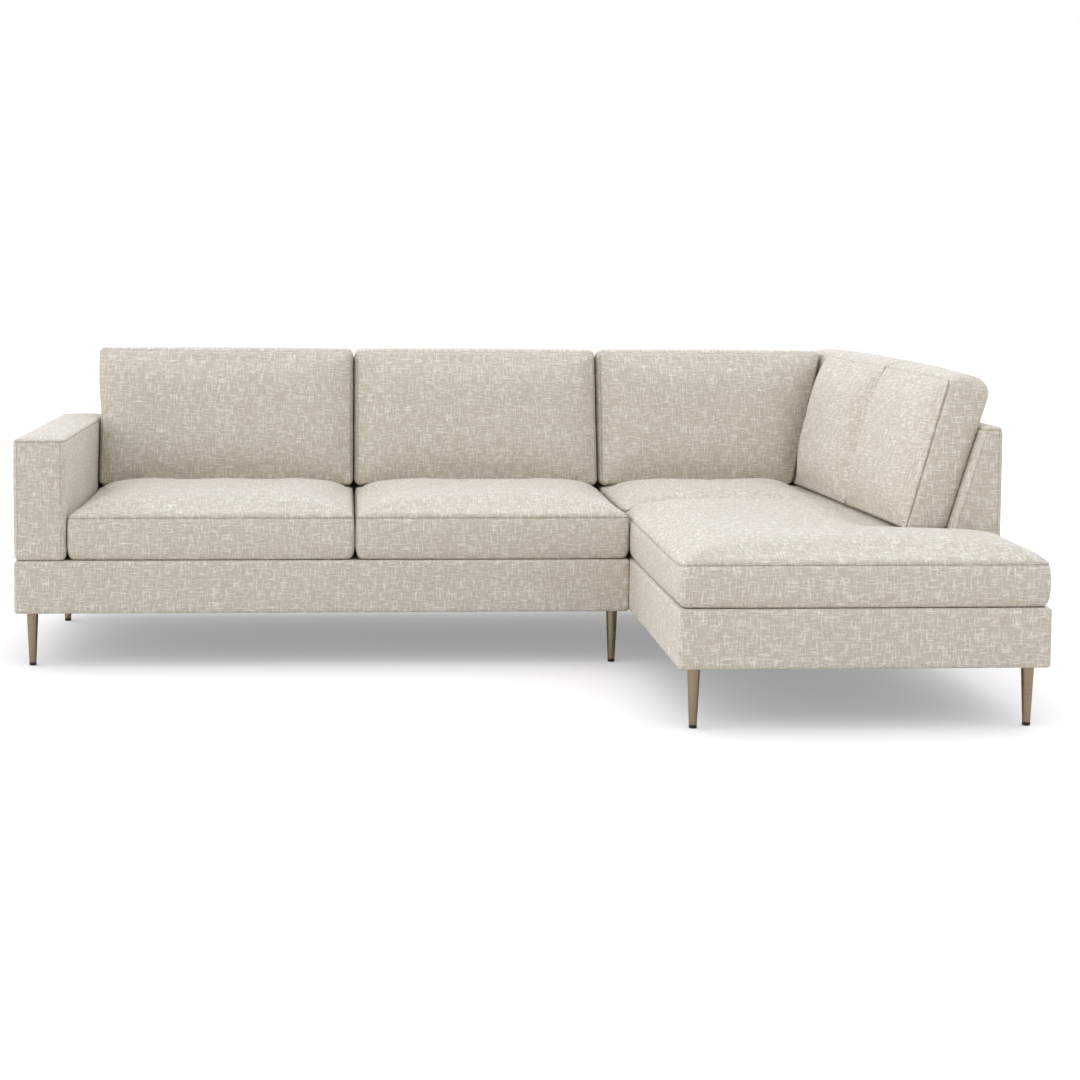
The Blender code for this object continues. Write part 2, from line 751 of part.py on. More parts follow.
def add_connector(loveseat, chaise):
    """A tongue under the loveseat's rail that slides into a strap under the chaise's."""
    top = LEG_HEIGHT - CONTACT_GAP
    middle = SOFA_DEPTH / 2
    low = (LOVESEAT_WIDTH - CONNECTOR_REACH, middle - CONNECTOR_WIDTH / 2, top - CONNECTOR_THICKNESS)
    high = (CHAISE_LEFT + CONNECTOR_REACH, middle + CONNECTOR_WIDTH / 2, top)
    add_object("connector_tongue", box_mesh("connector_tongue", low, high), STEEL, loveseat)

    inner = CONNECTOR_WIDTH / 2 + CONNECTOR_CLEARANCE
    outer = inner + CONNECTOR_THICKNESS
    floor = top - CONNECTOR_THICKNESS - CONTACT_GAP
    base = floor - CONNECTOR_THICKNESS
    outline = [
        (-outer, base), (outer, base), (outer, top), (inner, top),
        (inner, floor), (-inner, floor), (-inner, top), (-outer, top),
    ]
    mesh = prism_mesh(
        "connector_strap",
        outline,
        CONNECTOR_REACH - CUSHION_GAP,
        lambda a, b, distance: (CUSHION_GAP + distance, CONNECTOR_Y + a, b),
    )
    add_object("connector_strap", mesh, STEEL, chaise)


# The two sections


def add_loveseat(section):
    add_rails(section, "loveseat", LOVESEAT_WIDTH, SOFA_DEPTH)
    add_cross_rail(section, "loveseat", LOVESEAT_WIDTH, SOFA_DEPTH)
    add_webbing(section, "loveseat", LOVESEAT_WIDTH, SOFA_DEPTH, LOVESEAT_STRAPS)
    add_deck(section, "loveseat", LOVESEAT_WIDTH, SOFA_DEPTH)
    add_dust_cover(section, "loveseat", LOVESEAT_WIDTH, SOFA_DEPTH)
    add_legs(section, "loveseat", LOVESEAT_WIDTH, SOFA_DEPTH)
    add_arm(section)

    back_start = ARM_WIDTH + CONTACT_GAP
    back_place = (back_start, SOFA_DEPTH, 0.0)
    back_length = LOVESEAT_WIDTH - back_start
    add_back(section, "loveseat", back_place, back_length)

    joint = back_start + LEFT_SEAT_WIDTH
    sides = {"left": (back_start, joint), "middle": (joint, LOVESEAT_WIDTH)}
    press_front = SOFA_DEPTH - cushion_foot() - PRESS_MARGIN
    for side, (start, end) in sides.items():
        left, right = start + CUSHION_GAP, end - CUSHION_GAP
        low = (left, SEAT_FRONT_SETBACK)
        high = (right, SOFA_DEPTH - seat_end())
        pressed = [(left, right, press_front, SOFA_DEPTH)]
        add_seat_cushion(section, f"{side}_seat_cushion", low, high, pressed)
        span = (left - back_start, right - back_start)
        add_back_cushion(section, f"{side}_back_cushion", back_place, span)


def add_chaise(section):
    add_rails(section, "chaise", CHAISE_WIDTH, CHAISE_DEPTH)
    add_cross_rail(section, "chaise", CHAISE_WIDTH, CHAISE_DEPTH)
    add_webbing(section, "chaise", CHAISE_WIDTH, CHAISE_DEPTH, CHAISE_STRAPS)
    add_deck(section, "chaise", CHAISE_WIDTH, CHAISE_DEPTH)
    add_dust_cover(section, "chaise", CHAISE_WIDTH, CHAISE_DEPTH)
    add_legs(section, "chaise", CHAISE_WIDTH, CHAISE_DEPTH)

    quarter_turn = -math.pi / 2
    rake_slope = math.tan(BACK_RAKE)
    rear_place = (0.0, CHAISE_DEPTH, 0.0)
    side_place = (CHAISE_WIDTH, CHAISE_DEPTH, 0.0)
    corner_length = CHAISE_WIDTH - back_thickness(SEAT_BOTTOM) - 2 * CONTACT_GAP
    add_back(section, "corner", rear_place, corner_length, 0.0, rake_slope)
    add_back(section, "return", side_place, RETURN_LENGTH, quarter_turn)

    right = CHAISE_WIDTH - seat_end()
    rear = CHAISE_DEPTH - seat_end()
    press_right = CHAISE_WIDTH - cushion_foot(RETURN_CORNER_BOXING) - PRESS_MARGIN
    press_rear = CHAISE_DEPTH - cushion_foot() - PRESS_MARGIN
    low = (CUSHION_GAP, CORNER_SEAT_FRONT + CUSHION_GAP)
    pressed = [
        (low[0], right, press_rear, CHAISE_DEPTH),
        (press_right, CHAISE_WIDTH, low[1], CHAISE_DEPTH),
    ]
    add_seat_cushion(section, "corner_seat_cushion", low, (right, rear), pressed)

    return_front = CHAISE_DEPTH - RETURN_LENGTH
    cushion_front = return_front + RETURN_CUSHION_SETBACK
    low = (CUSHION_GAP, SEAT_FRONT_SETBACK)
    high = (CHAISE_WIDTH - SEAT_FRONT_SETBACK, CORNER_SEAT_FRONT - CUSHION_GAP)
    pressed = [(press_right, CHAISE_WIDTH, cushion_front - PRESS_MARGIN, CHAISE_DEPTH)]
    notch = (right, return_front - CUSHION_END_GAP)
    add_seat_cushion(section, "chaise_seat_cushion", low, high, pressed, notch)

    corner_face = CHAISE_WIDTH - cushion_foot(RETURN_CORNER_BOXING) - CUSHION_END_GAP
    span = (CUSHION_GAP, corner_face)
    slopes = (0.0, back_cushion_face_slope(RETURN_CORNER_BOXING))
    add_back_cushion(section, "corner_back_cushion", rear_place, span, 0.0, slopes)

    add_return_cushions(section, side_place, quarter_turn)


def add_return_cushions(section, side_place, turn):
    """The two cushions down the side, which thin a little from the corner to the front."""
    rear_end = back_thickness(BACK_CUSHION_BOTTOM) + CUSHION_END_GAP
    joint = CHAISE_DEPTH - CORNER_SEAT_FRONT
    front_end = RETURN_LENGTH - RETURN_CUSHION_SETBACK
    covered = cushion_foot() - rear_end + BACK_CROWN / 2
    share = (joint - rear_end) / (front_end - rear_end)
    joint_boxing = RETURN_CORNER_BOXING + (RETURN_FRONT_BOXING - RETURN_CORNER_BOXING) * share
    add_back_cushion(
        section,
        "return_rear_cushion",
        side_place,
        (rear_end, joint - CUSHION_GAP),
        turn,
        slopes=(math.tan(BACK_RAKE), 0.0),
        pressed=[(0.0, covered, 0.0, BACK_CUSHION_HEIGHT)],
        boxings=(RETURN_CORNER_BOXING, joint_boxing),
    )
    add_back_cushion(
        section,
        "return_front_cushion",
        side_place,
        (joint + CUSHION_GAP, front_end),
        turn,
        boxings=(joint_boxing, RETURN_FRONT_BOXING),
    )


# Finishes: colour, roughness, metallic
FABRIC = ((0.62, 0.58, 0.50), 0.95, 0.0)
UPHOLSTERED_WOOD = ((0.60, 0.56, 0.48), 0.95, 0.0)
DECK_CLOTH = ((0.45, 0.42, 0.36), 0.95, 0.0)
WOOD = ((0.55, 0.40, 0.24), 0.70, 0.0)
WEBBING = ((0.16, 0.14, 0.12), 0.85, 0.0)
DUST_CLOTH = ((0.02, 0.02, 0.02), 0.95, 0.0)
BRONZE = ((0.30, 0.24, 0.18), 0.38, 1.0)
DARK_NYLON = ((0.02, 0.02, 0.02), 0.60, 0.0)
STEEL = ((0.35, 0.35, 0.36), 0.40, 1.0)


def main():
    clear_scene()
    left = -OVERALL_WIDTH / 2
    front = -CHAISE_DEPTH / 2
    loveseat = add_section("loveseat_section", (left, front + CHAISE_DEPTH - SOFA_DEPTH, 0.0))
    chaise = add_section("chaise_section", (left + CHAISE_LEFT, front, 0.0))
    add_loveseat(loveseat)
    add_chaise(chaise)
    add_connector(loveseat, chaise)


main()
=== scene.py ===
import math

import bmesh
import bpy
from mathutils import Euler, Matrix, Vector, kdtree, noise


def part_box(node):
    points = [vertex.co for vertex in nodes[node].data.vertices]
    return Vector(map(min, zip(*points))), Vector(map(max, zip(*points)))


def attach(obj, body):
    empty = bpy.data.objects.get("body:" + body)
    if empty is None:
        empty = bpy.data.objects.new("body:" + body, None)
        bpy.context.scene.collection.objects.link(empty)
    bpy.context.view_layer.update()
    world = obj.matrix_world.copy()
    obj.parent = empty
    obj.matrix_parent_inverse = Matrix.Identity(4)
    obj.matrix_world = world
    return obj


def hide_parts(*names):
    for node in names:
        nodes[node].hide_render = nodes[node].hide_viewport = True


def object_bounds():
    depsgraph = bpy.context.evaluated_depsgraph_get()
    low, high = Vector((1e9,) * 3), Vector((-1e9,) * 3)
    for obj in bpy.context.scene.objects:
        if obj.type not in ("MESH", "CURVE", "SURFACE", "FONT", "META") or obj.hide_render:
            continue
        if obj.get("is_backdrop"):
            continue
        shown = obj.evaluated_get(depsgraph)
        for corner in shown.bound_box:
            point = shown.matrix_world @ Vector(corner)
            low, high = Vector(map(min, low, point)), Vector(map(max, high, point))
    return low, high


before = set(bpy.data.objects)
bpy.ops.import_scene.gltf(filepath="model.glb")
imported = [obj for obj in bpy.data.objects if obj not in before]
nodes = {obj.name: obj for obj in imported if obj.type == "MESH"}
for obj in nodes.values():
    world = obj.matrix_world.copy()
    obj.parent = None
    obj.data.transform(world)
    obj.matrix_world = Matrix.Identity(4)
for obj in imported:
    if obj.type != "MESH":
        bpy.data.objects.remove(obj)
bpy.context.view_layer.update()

# %% [markdown]
# # A sectional sofa in slub linen
# A joiner's half of this sofa is ready before this script starts: rails, frames, webbing, legs and the joints
# come in as a fixed frame. This script is the upholsterer's half. It covers the frame, sews the cushions,
# turns the legs smooth, and gives every surface the finish that the real one has.
# Everything is in metres, with the floor at height 0, X to the right and Y towards the back.

MM = 0.001

# %% [markdown]
# ## Colour and nodes
# Colours are picked as sRGB hex values, but shaders add and multiply light, so they need linear
# numbers. One function turns the one into the other. A second one adds a shader node, sets it up and wires it
# in one line, which keeps each material below short enough to read from top to bottom.

# %% Helpers for materials
def linear(code):
    """A linear colour from an sRGB hex value such as c1b7a6."""
    shares = [int(code[i:i + 2], 16) / 255 for i in (0, 2, 4)]
    return (*[s / 12.92 if s <= 0.04045 else ((s + 0.055) / 1.055) ** 2.4 for s in shares], 1.0)


def add_node(tree, kind, inputs=None, **settings):
    """A node of a kind, with its settings. Each input gets a value, a socket, or a node's first output."""
    node = tree.nodes.new("ShaderNode" + kind)
    for name, value in settings.items():
        setattr(node, name, value)
    for name, value in (inputs or {}).items():
        if isinstance(value, bpy.types.Node):
            value = value.outputs[0]
        if isinstance(value, bpy.types.NodeSocket):
            tree.links.new(value, node.inputs[name])
        else:
            node.inputs[name].default_value = value
    return node


def new_material(name):
    """A material and its node tree, still empty."""
    made = bpy.data.materials.new(name)
    made.use_nodes = True
    made.node_tree.nodes.clear()
    return made, made.node_tree


def close_surface(tree, colour, height, strength, relief, shading):
    """Ends a material: a mixed colour, a fine relief drawn from a height, and how it takes the light."""
    bump = add_node(tree, "Bump", {"Strength": strength, "Distance": relief, "Height": height})
    shader = add_node(tree, "BsdfPrincipled", {"Base Color": colour.outputs[2], "Normal": bump, **shading})
    add_node(tree, "OutputMaterial", {0: shader})


print("a middle grey, 808080, is", round(linear("808080")[0], 3), "in linear light")

# %% [markdown]
# ## Slub linen
# The cover is a plain weave of linen and a thicker slub yarn, piece dyed in a warm oatmeal. Slub yarn is spun
# unevenly on purpose: it swells every few centimetres, and each swelling shows as a pale streak along a
# thread. A picture of cloth could be wrapped round the sofa, but it would stretch and repeat. This material
# is drawn from noise, stretched long one way for the warp and long the other way for the weft, so it never
# repeats. The threads follow the piece's own axes: each point takes the plane that it faces most.

# %% Threads
THREAD_WANDER = 3 * MM
WANDER_LENGTH = 40 * MM


def facing_plane(tree):
    """Two coordinates in the plane that a point faces most, in metres, with a slight wander."""
    place = add_node(tree, "TexCoord")
    facing = add_node(tree, "VectorMath", {0: place.outputs["Normal"]}, operation="ABSOLUTE")
    over_x, over_y, over_z = add_node(tree, "SeparateXYZ", {0: facing}).outputs
    x, y, z = add_node(tree, "SeparateXYZ", {0: place.outputs["Object"]}).outputs
    sideways = add_node(tree, "Math", {0: over_x, 1: over_y}, operation="GREATER_THAN")
    other = add_node(tree, "Math", {0: over_x, 1: over_y}, operation="MAXIMUM")
    upwards = add_node(tree, "Math", {0: over_z, 1: other}, operation="GREATER_THAN")
    front = add_node(tree, "CombineXYZ", {0: x, 1: z})
    side = add_node(tree, "CombineXYZ", {0: y, 1: z})
    level = add_node(tree, "CombineXYZ", {0: x, 1: y})
    wall = add_node(tree, "Mix", {0: sideways, 4: front, 5: side}, data_type="VECTOR")
    plane = add_node(tree, "Mix", {0: upwards, 4: wall.outputs[1], 5: level}, data_type="VECTOR")
    wander = add_node(tree, "TexNoise", {
        "Vector": place.outputs["Object"], "Scale": 1 / WANDER_LENGTH, "Detail": 1.0})
    shift = add_node(tree, "VectorMath", {0: wander.outputs["Color"], 1: (0.5, 0.5, 0.5)},
                     operation="SUBTRACT")
    return add_node(tree, "VectorMath", {
        0: shift, 1: (2 * THREAD_WANDER, 2 * THREAD_WANDER, 0), 2: plane.outputs[1]},
        operation="MULTIPLY_ADD")


def streaks(tree, plane, width, run, detail):
    """Noise stretched along the weft and the same along the warp."""
    made = []
    for scale in ((1 / run, 1 / width, 0), (1 / width, 1 / run, 0)):
        stretched = add_node(tree, "VectorMath", {0: plane, 1: scale}, operation="MULTIPLY")
        made.append(add_node(tree, "TexNoise", {
            "Vector": stretched, "Scale": 1.0, "Detail": detail, "Roughness": 0.6}, noise_dimensions="2D"))
    return made


print("threads wander by up to", THREAD_WANDER, "m")

# %% Linen weave
THREAD_PITCH = 4 * MM  # the real yarn lies 1.5 mm apart, which is too fine to show, so this is coarser
THREAD_RUN = 30 * MM
SLUB_WIDTH = 6.5 * MM
SLUB_RUN = 60 * MM
FLECK_SIZE = 6 * MM
TONE_PATCH = 180 * MM
THREAD_RELIEF = 1.5 * MM
SEAM_PAINTED_SHADE = 0.26  # painted shade: how far the linen darkens in a seam's fold, where little light reaches


def slub_linen(name, shade="c1b7a6", bright="f4eee4", fleck="90866f", painted_fold_shade="6e6250"):
    """Matt, soft cloth: a fine cross-hatch, pale slubs, a few dark flecks and light from its nap."""
    made, tree = new_material(name)
    plane = facing_plane(tree)
    weft, warp = streaks(tree, plane, THREAD_PITCH, THREAD_RUN, 1.5)
    upper = add_node(tree, "Math", {0: weft, 1: warp}, operation="MAXIMUM")
    both = add_node(tree, "Math", {0: weft, 1: warp}, operation="ADD")
    thread = add_node(tree, "MapRange", {0: upper, 1: 0.48, 2: 0.76, 3: 0.0, 4: 0.44},
                      interpolation_type="SMOOTHSTEP")
    ground = add_node(tree, "MapRange", {0: both, 1: 0.75, 2: 1.25, 3: -0.10, 4: 0.10})
    slub_weft, slub_warp = streaks(tree, plane, SLUB_WIDTH, SLUB_RUN, 1.0)
    strongest = add_node(tree, "Math", {0: slub_weft, 1: slub_warp}, operation="MAXIMUM")
    slub = add_node(tree, "MapRange", {0: strongest, 1: 0.62, 2: 0.72, 3: 0.0, 4: 1.0},
                    interpolation_type="SMOOTHSTEP")
    dots = add_node(tree, "TexNoise", {"Vector": plane, "Scale": 1 / FLECK_SIZE, "Detail": 1.0},
                    noise_dimensions="2D")
    flecks = add_node(tree, "MapRange", {0: dots, 1: 0.71, 2: 0.79, 3: 0.0, 4: 0.7})
    patch = add_node(tree, "TexNoise", {"Vector": plane, "Scale": 1 / TONE_PATCH, "Detail": 2.0})
    woven = add_node(tree, "Math", {0: thread, 1: ground}, operation="ADD")
    lighter = add_node(tree, "Math", {0: slub, 1: 0.26, 2: woven}, operation="MULTIPLY_ADD")
    toned = add_node(tree, "Math", {0: patch, 1: 0.16, 2: lighter}, operation="MULTIPLY_ADD")
    blend = add_node(tree, "Math", {0: toned, 1: 0.06}, operation="SUBTRACT", use_clamp=True)
    cloth = add_node(tree, "Mix", {0: blend, 6: linear(shade), 7: linear(bright)}, data_type="RGBA")
    dyed = add_node(tree, "Mix", {0: flecks, 6: cloth.outputs[2], 7: linear(fleck)}, data_type="RGBA")
    # Painted shade: the seam attribute darkens the cloth towards a dark fold colour, as if in shadow.
    sewn = add_node(tree, "Attribute", attribute_name="seam")
    fold = add_node(tree, "Math", {0: sewn.outputs["Fac"], 1: SEAM_PAINTED_SHADE}, operation="MULTIPLY")
    seam_shaded_colour = add_node(tree, "Mix", {0: fold, 6: dyed.outputs[2], 7: linear(painted_fold_shade)},
                      data_type="RGBA")
    height = add_node(tree, "Math", {0: slub, 1: 0.5, 2: woven}, operation="MULTIPLY_ADD")
    close_surface(tree, seam_shaded_colour, height, 0.8, THREAD_RELIEF, {
        "Roughness": 0.92, "Specular IOR Level": 0.25, "Sheen Weight": 0.20, "Sheen Roughness": 0.40,
        "Sheen Tint": linear("fbfaf7")})
    return made


linen = slub_linen("slub_linen")
print("linen: threads", THREAD_PITCH, "m apart, slubs", SLUB_RUN, "m long")

# %% [markdown]
# ## The plain cloths underneath
# Lifting a cushion shows the deck, a padded platform in a flat, cheaper cloth of the same colour. Under that
# runs dark elastic webbing, and the underside is closed by black non-woven polypropylene, which looks like
# felt. To the eye they differ in colour, pitch and dullness only, so one function makes all three.

# %% Deck cloth, webbing and dust cloth
def ribbed_cloth(name, light, dark, pitch, relief, roughness):
    """A plain cloth, lightly ribbed both ways, for surfaces that are mostly hidden."""
    made, tree = new_material(name)
    weft, warp = streaks(tree, facing_plane(tree), pitch, 6 * pitch, 2.0)
    both = add_node(tree, "Math", {0: weft, 1: warp}, operation="ADD")
    share = add_node(tree, "MapRange", {0: both, 1: 0.6, 2: 1.4, 3: 0.0, 4: 1.0})
    mixed = add_node(tree, "Mix", {0: share, 6: linear(dark), 7: linear(light)}, data_type="RGBA")
    close_surface(tree, mixed, both, 0.6, relief, {"Roughness": roughness})
    return made


deck_cloth = ribbed_cloth("cotton_deck_cloth", "c9c1b1", "aea695", 3 * MM, 0.6 * MM, 0.95)
webbing_strap = ribbed_cloth("elastic_webbing", "4a4138", "2b2622", 4 * MM, 0.8 * MM, 0.8)
dust_cloth = ribbed_cloth("non_woven_polypropylene", "1d1c1c", "0e0e0e", 8 * MM, 0.3 * MM, 0.9)
print("cloths:", deck_cloth.name, webbing_strap.name, dust_cloth.name)

# %% [markdown]
# ## Wood, metal and plastic
# The hidden frame is sawn pine, pale with growth rings stretched along the board. The legs are steel tube
# with a brushed, bronze-tinted lacquer: brushing leaves scratches round the leg, so highlights spread up and
# down. The plates that hook the sections together are zinc-plated steel, and the glides are black nylon.

# %% Pine, bronze, zinc and nylon
RING_WIDTH = 9 * MM
BRUSH_PITCH = 1.2 * MM
MOULD_GRAIN = 0.8 * MM


def sawn_pine(name):
    """Soft, matt, yellowish wood: bands of late wood run along the board and saw marks dull it."""
    made, tree = new_material(name)
    place = add_node(tree, "TexCoord").outputs["Object"]
    board = add_node(tree, "VectorMath", {0: place, 1: (0.12, 1.0, 0.35)}, operation="MULTIPLY")
    bands = add_node(tree, "TexWave", {
        "Vector": board, "Scale": 1 / (RING_WIDTH * 20), "Distortion": 6.0, "Detail": 3.0,
        "Detail Scale": 1.5}).outputs[1]
    mixed = add_node(tree, "Mix", {0: bands, 6: linear("b98f5e"), 7: linear("d9b88a")}, data_type="RGBA")
    close_surface(tree, mixed, bands, 0.4, 0.3 * MM, {"Roughness": 0.7})
    return made


def brushed_metal(name, light, dark, roughness):
    """Metal with fine scratches round it: they blur its highlights and break its colour into thin rings."""
    made, tree = new_material(name)
    place = add_node(tree, "TexCoord").outputs["Object"]
    drawn = add_node(tree, "VectorMath", {0: place, 1: (12, 12, 1 / BRUSH_PITCH)}, operation="MULTIPLY")
    marks = add_node(tree, "TexNoise", {"Vector": drawn, "Scale": 1.0, "Detail": 3.0})
    wear = add_node(tree, "TexNoise", {"Vector": place, "Scale": 40.0, "Detail": 2.0})
    mixed = add_node(tree, "Mix", {0: marks, 6: linear(dark), 7: linear(light)}, data_type="RGBA")
    rough = add_node(tree, "MapRange", {
        0: wear, 1: 0.3, 2: 0.7, 3: roughness - 0.06, 4: roughness + 0.06})
    close_surface(tree, mixed, marks, 0.25, 0.1 * MM, {"Metallic": 1.0, "Roughness": rough})
    return made


def moulded_nylon(name):
    """Black plastic with a faint mould grain, which keeps its highlight dull."""
    made, tree = new_material(name)
    place = add_node(tree, "TexCoord").outputs["Object"]
    grain = add_node(tree, "TexNoise", {"Vector": place, "Scale": 1 / MOULD_GRAIN, "Detail": 2.0})
    mixed = add_node(tree, "Mix", {0: grain, 6: linear("141312"), 7: linear("22201e")}, data_type="RGBA")
    close_surface(tree, mixed, grain, 0.3, 0.05 * MM, {"Roughness": 0.5, "IOR": 1.53})
    return made


pine = sawn_pine("sawn_pine")
bronze = brushed_metal("brushed_bronze_lacquer", "b3a288", "85755e", 0.36)
zinc = brushed_metal("zinc_plated_steel", "b9bcc0", "8b8f94", 0.42)
nylon = moulded_nylon("moulded_nylon")
print("hard finishes:", pine.name, bronze.name, zinc.name, nylon.name)

# %% [markdown]
# ## A finish for every piece of the frame
# The pieces of the frame that stay as they are only need their finish. A node's name says what it is, so a
# short list of name endings is enough. The upholstered ones are dressed here too, and replaced further down.

# %% Finishes by name
FINISH_BY_ENDING = {
    "_deck": deck_cloth, "_webbing": webbing_strap, "_dust_cover": dust_cloth, "_frame": pine,
    "_cross_rail": pine, "_leg_block": pine, "connector_tongue": zinc, "connector_strap": zinc,
    "_leg": bronze, "_glide": nylon,
}
for name, piece in nodes.items():
    finish = next((found for ending, found in FINISH_BY_ENDING.items() if name.endswith(ending)), linen)
    for slot in piece.material_slots:
        slot.material = finish
print("dressed", len(nodes), "pieces of the frame")

# %% [markdown]
# ## Sewing a body
# A cushion, an arm cover and an upholstered rail are sewn alike: a top panel, a strip of cloth round the
# sides, and a bottom. So one function makes them all. It lays a grid over the top panel, closer beside edges
# and seams, and then drops rings of points down the sides. Each ring has its own inset and height, which is
# how a seam's groove and a rounded edge are drawn. Blender's bevel could round a box, but it can't sew one.

# %% Grid lines and outlines
def grid_lines(stops, beside, cell, creases=()):
    """Positions from the first stop to the last: set steps beside each stop, and even cells between."""
    fixed = set(creases)
    for start, end in zip(stops, stops[1:]):
        near = [step for step in beside if step < (end - start) / 2]
        fixed |= {start + step for step in near} | {end - step for step in near}
    ordered = sorted(fixed)
    lines = ordered[:1]
    for start, end in zip(ordered, ordered[1:]):
        if end - start < 1e-6:
            continue
        count = max(1, round((end - start) / cell))
        lines += [start + (end - start) * k / count for k in range(1, count + 1)]
    return lines


def all_cells(across, along):
    """Every cell of a grid, named by its first grid point."""
    return {(i, j) for i in range(len(across) - 1) for j in range(len(along) - 1)}


def grid_points(cells):
    """The grid points round these cells, in order."""
    return sorted({(i + a, j + b) for i, j in cells for a in (0, 1) for b in (0, 1)})


def outline_steps(cells):
    """Each grid point on the outline, with the next one round it anticlockwise."""
    following = {}
    for i, j in cells:
        ring = [(i, j), (i + 1, j), (i + 1, j + 1), (i, j + 1)]
        beyond = [(i, j - 1), (i + 1, j), (i, j + 1), (i - 1, j)]
        for side in range(4):
            if beyond[side] not in cells:
                following[ring[side]] = ring[(side + 1) % 4]
    return following


def outward_directions(flat, following):
    """The way out of the outline at each of its points."""
    before = {end: start for start, end in following.items()}
    outwards = {}
    for point, after in following.items():
        along = (flat[after] - flat[point]).normalized() + (flat[point] - flat[before[point]]).normalized()
        outwards[point] = Vector((along.y, -along.x)).normalized()
    return outwards


print("a 0.75 m side in 10 mm cells takes", len(grid_lines([0, 0.75], [0, 0.01, 0.02], 0.01)), "lines")

# %% The sewn body itself
FADE = 70 * MM  # how far inside a panel a point still follows the outline
AROUND = 12  # how many points of the outline it follows


def sewn_body(name, grid, cells, profile, plan, lift, place, slack=None, relief=None, sag=None, seams=(),
              stitched=None):
    """A closed body: profile lists rings of (inset, height, draw) from the top panel's edge to the bottom.

    plan carries a grid point to the flat outline, lift raises the top panel, and place carries a point to the
    world. slack is 0 at a corner and 1 mid-side, and draws a ring in there. relief pushes a side point out,
    and sag lowers any point. Inside a panel, points near the outline follow it, and less so further in. seams
    lists the rings that lie in a seam's fold, and stitched is over 0 on any other seam: both are kept as the
    attribute seam.
    """
    across, along = grid
    corners = grid_points(cells)
    flat = {(i, j): Vector(plan(across[i], along[j])) for i, j in corners}
    following = outline_steps(cells)
    outwards = outward_directions(flat, following)
    ring_points = sorted(following)
    nearest = kdtree.KDTree(len(ring_points))
    for number, point in enumerate(ring_points):
        nearest.insert(flat[point].to_3d(), number)
    nearest.balance()
    points, faces, painted_seam_shades = [], [], []

    def layer(number, members, lifted):
        inset, height, draw = profile[number]
        moves = []
        for i, j in ring_points:
            loose = slack(across[i], along[j]) if slack else 0.0
            out = outwards[(i, j)]
            push = relief(across[i], along[j], height, out) if relief else 0.0
            moves.append(out * (push - inset - draw * loose))
        made = {}
        for i, j in members:
            at, z = flat[(i, j)], height
            around = nearest.find_n(at.to_3d(), 1 if (i, j) in outwards else AROUND)
            distance = around[0][2]
            if distance < FADE:
                weights = [1 / (found[2] + MM) ** 2 for found in around]
                pulls = (moves[found[1]] * weight for found, weight in zip(around, weights))
                mean = sum(pulls, Vector((0, 0)))
                at = at + mean / sum(weights) * (1 - distance / FADE) ** 2
            if lifted:
                z += lift(across[i], along[j])
            if sag:
                z -= sag(across[i], along[j], height)
            made[(i, j)] = len(points)
            points.append(place(at.x, at.y, z))
            # Painted shade: points in a seam's fold get a mark, and the linen darkens there as if in shadow.
            fold = 1.0 if number in seams and (i, j) in outwards else 0.0
            if stitched and (i, j) in outwards:
                fold = max(fold, stitched(across[i], along[j], height, outwards[(i, j)]))
            painted_seam_shades.append(fold)
        return made

    top = layer(0, corners, True)
    walls = [top] + [layer(number, ring_points, False) for number in range(1, len(profile) - 1)]
    bottom = layer(len(profile) - 1, corners, False)
    walls.append(bottom)
    for i, j in sorted(cells):
        square = [(i, j), (i + 1, j), (i + 1, j + 1), (i, j + 1)]
        faces.append([top[point] for point in square])
        faces.append([bottom[point] for point in reversed(square)])
    for upper, lower in zip(walls, walls[1:]):
        for point, after in sorted(following.items()):
            faces.append([upper[point], lower[point], lower[after], upper[after]])
    made = mesh_object(name, points, faces)
    made.data.attributes.new("seam", "FLOAT", "POINT").data.foreach_set("value", painted_seam_shades)
    return made


def mesh_object(name, points, faces):
    """A smooth-shaded object with its faces turned outwards."""
    mesh = bpy.data.meshes.new(name)
    mesh.from_pydata(points, [], faces)
    shape = bmesh.new()
    shape.from_mesh(mesh)
    bmesh.ops.recalc_face_normals(shape, faces=shape.faces)
    shape.to_mesh(mesh)
    shape.free()
    mesh.shade_smooth()
    made = bpy.data.objects.new(name, mesh)
    bpy.context.scene.collection.objects.link(made)
    return made


def dress(piece, finish, slot, body, *replaced):
    """Gives a piece its finish, lets it ride on a body, and hides what it stands for. slot is not used."""
    piece.data.materials.append(finish)
    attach(piece, body)
    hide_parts(*replaced)
    print(piece.name, len(piece.data.vertices), "points, on", body)
    return piece


print("panels follow their outline within", FADE, "m")

# %% [markdown]
# ## Round corners and soft edges
# Foam never holds a sharp corner, so each outline gets round ones: the grid lines near a corner are carried
# onto arcs about its centre. The crown of a cushion is highest in the middle and falls steeply at the seams,
# and where another cushion stands on it, it stays flat. Both are formulas, so they fit any size.

# %% Corner and crown formulas
def square_corners(width, length):
    """The corners of a rectangle, each with the ways that lead inwards from it."""
    return [(0.0, 0.0, 1, 1), (width, 0.0, -1, 1), (0.0, length, 1, -1), (width, length, -1, -1)]


def round_corner(u, v, corner, radius):
    """Carries a point near one square corner onto a round one."""
    corner_u, corner_v, inward_u, inward_v = corner
    p = radius - (u - corner_u) * inward_u
    q = radius - (v - corner_v) * inward_v
    if not (-1e-9 <= p <= radius + 1e-9 and -1e-9 <= q <= radius + 1e-9) or max(p, q) < 1e-9:
        return None
    far = max(p, q)
    angle = math.pi / 4 * (q / p) if p >= q else math.pi / 2 - math.pi / 4 * (p / q)
    return (corner_u + inward_u * (radius - far * math.cos(angle)),
            corner_v + inward_v * (radius - far * math.sin(angle)))


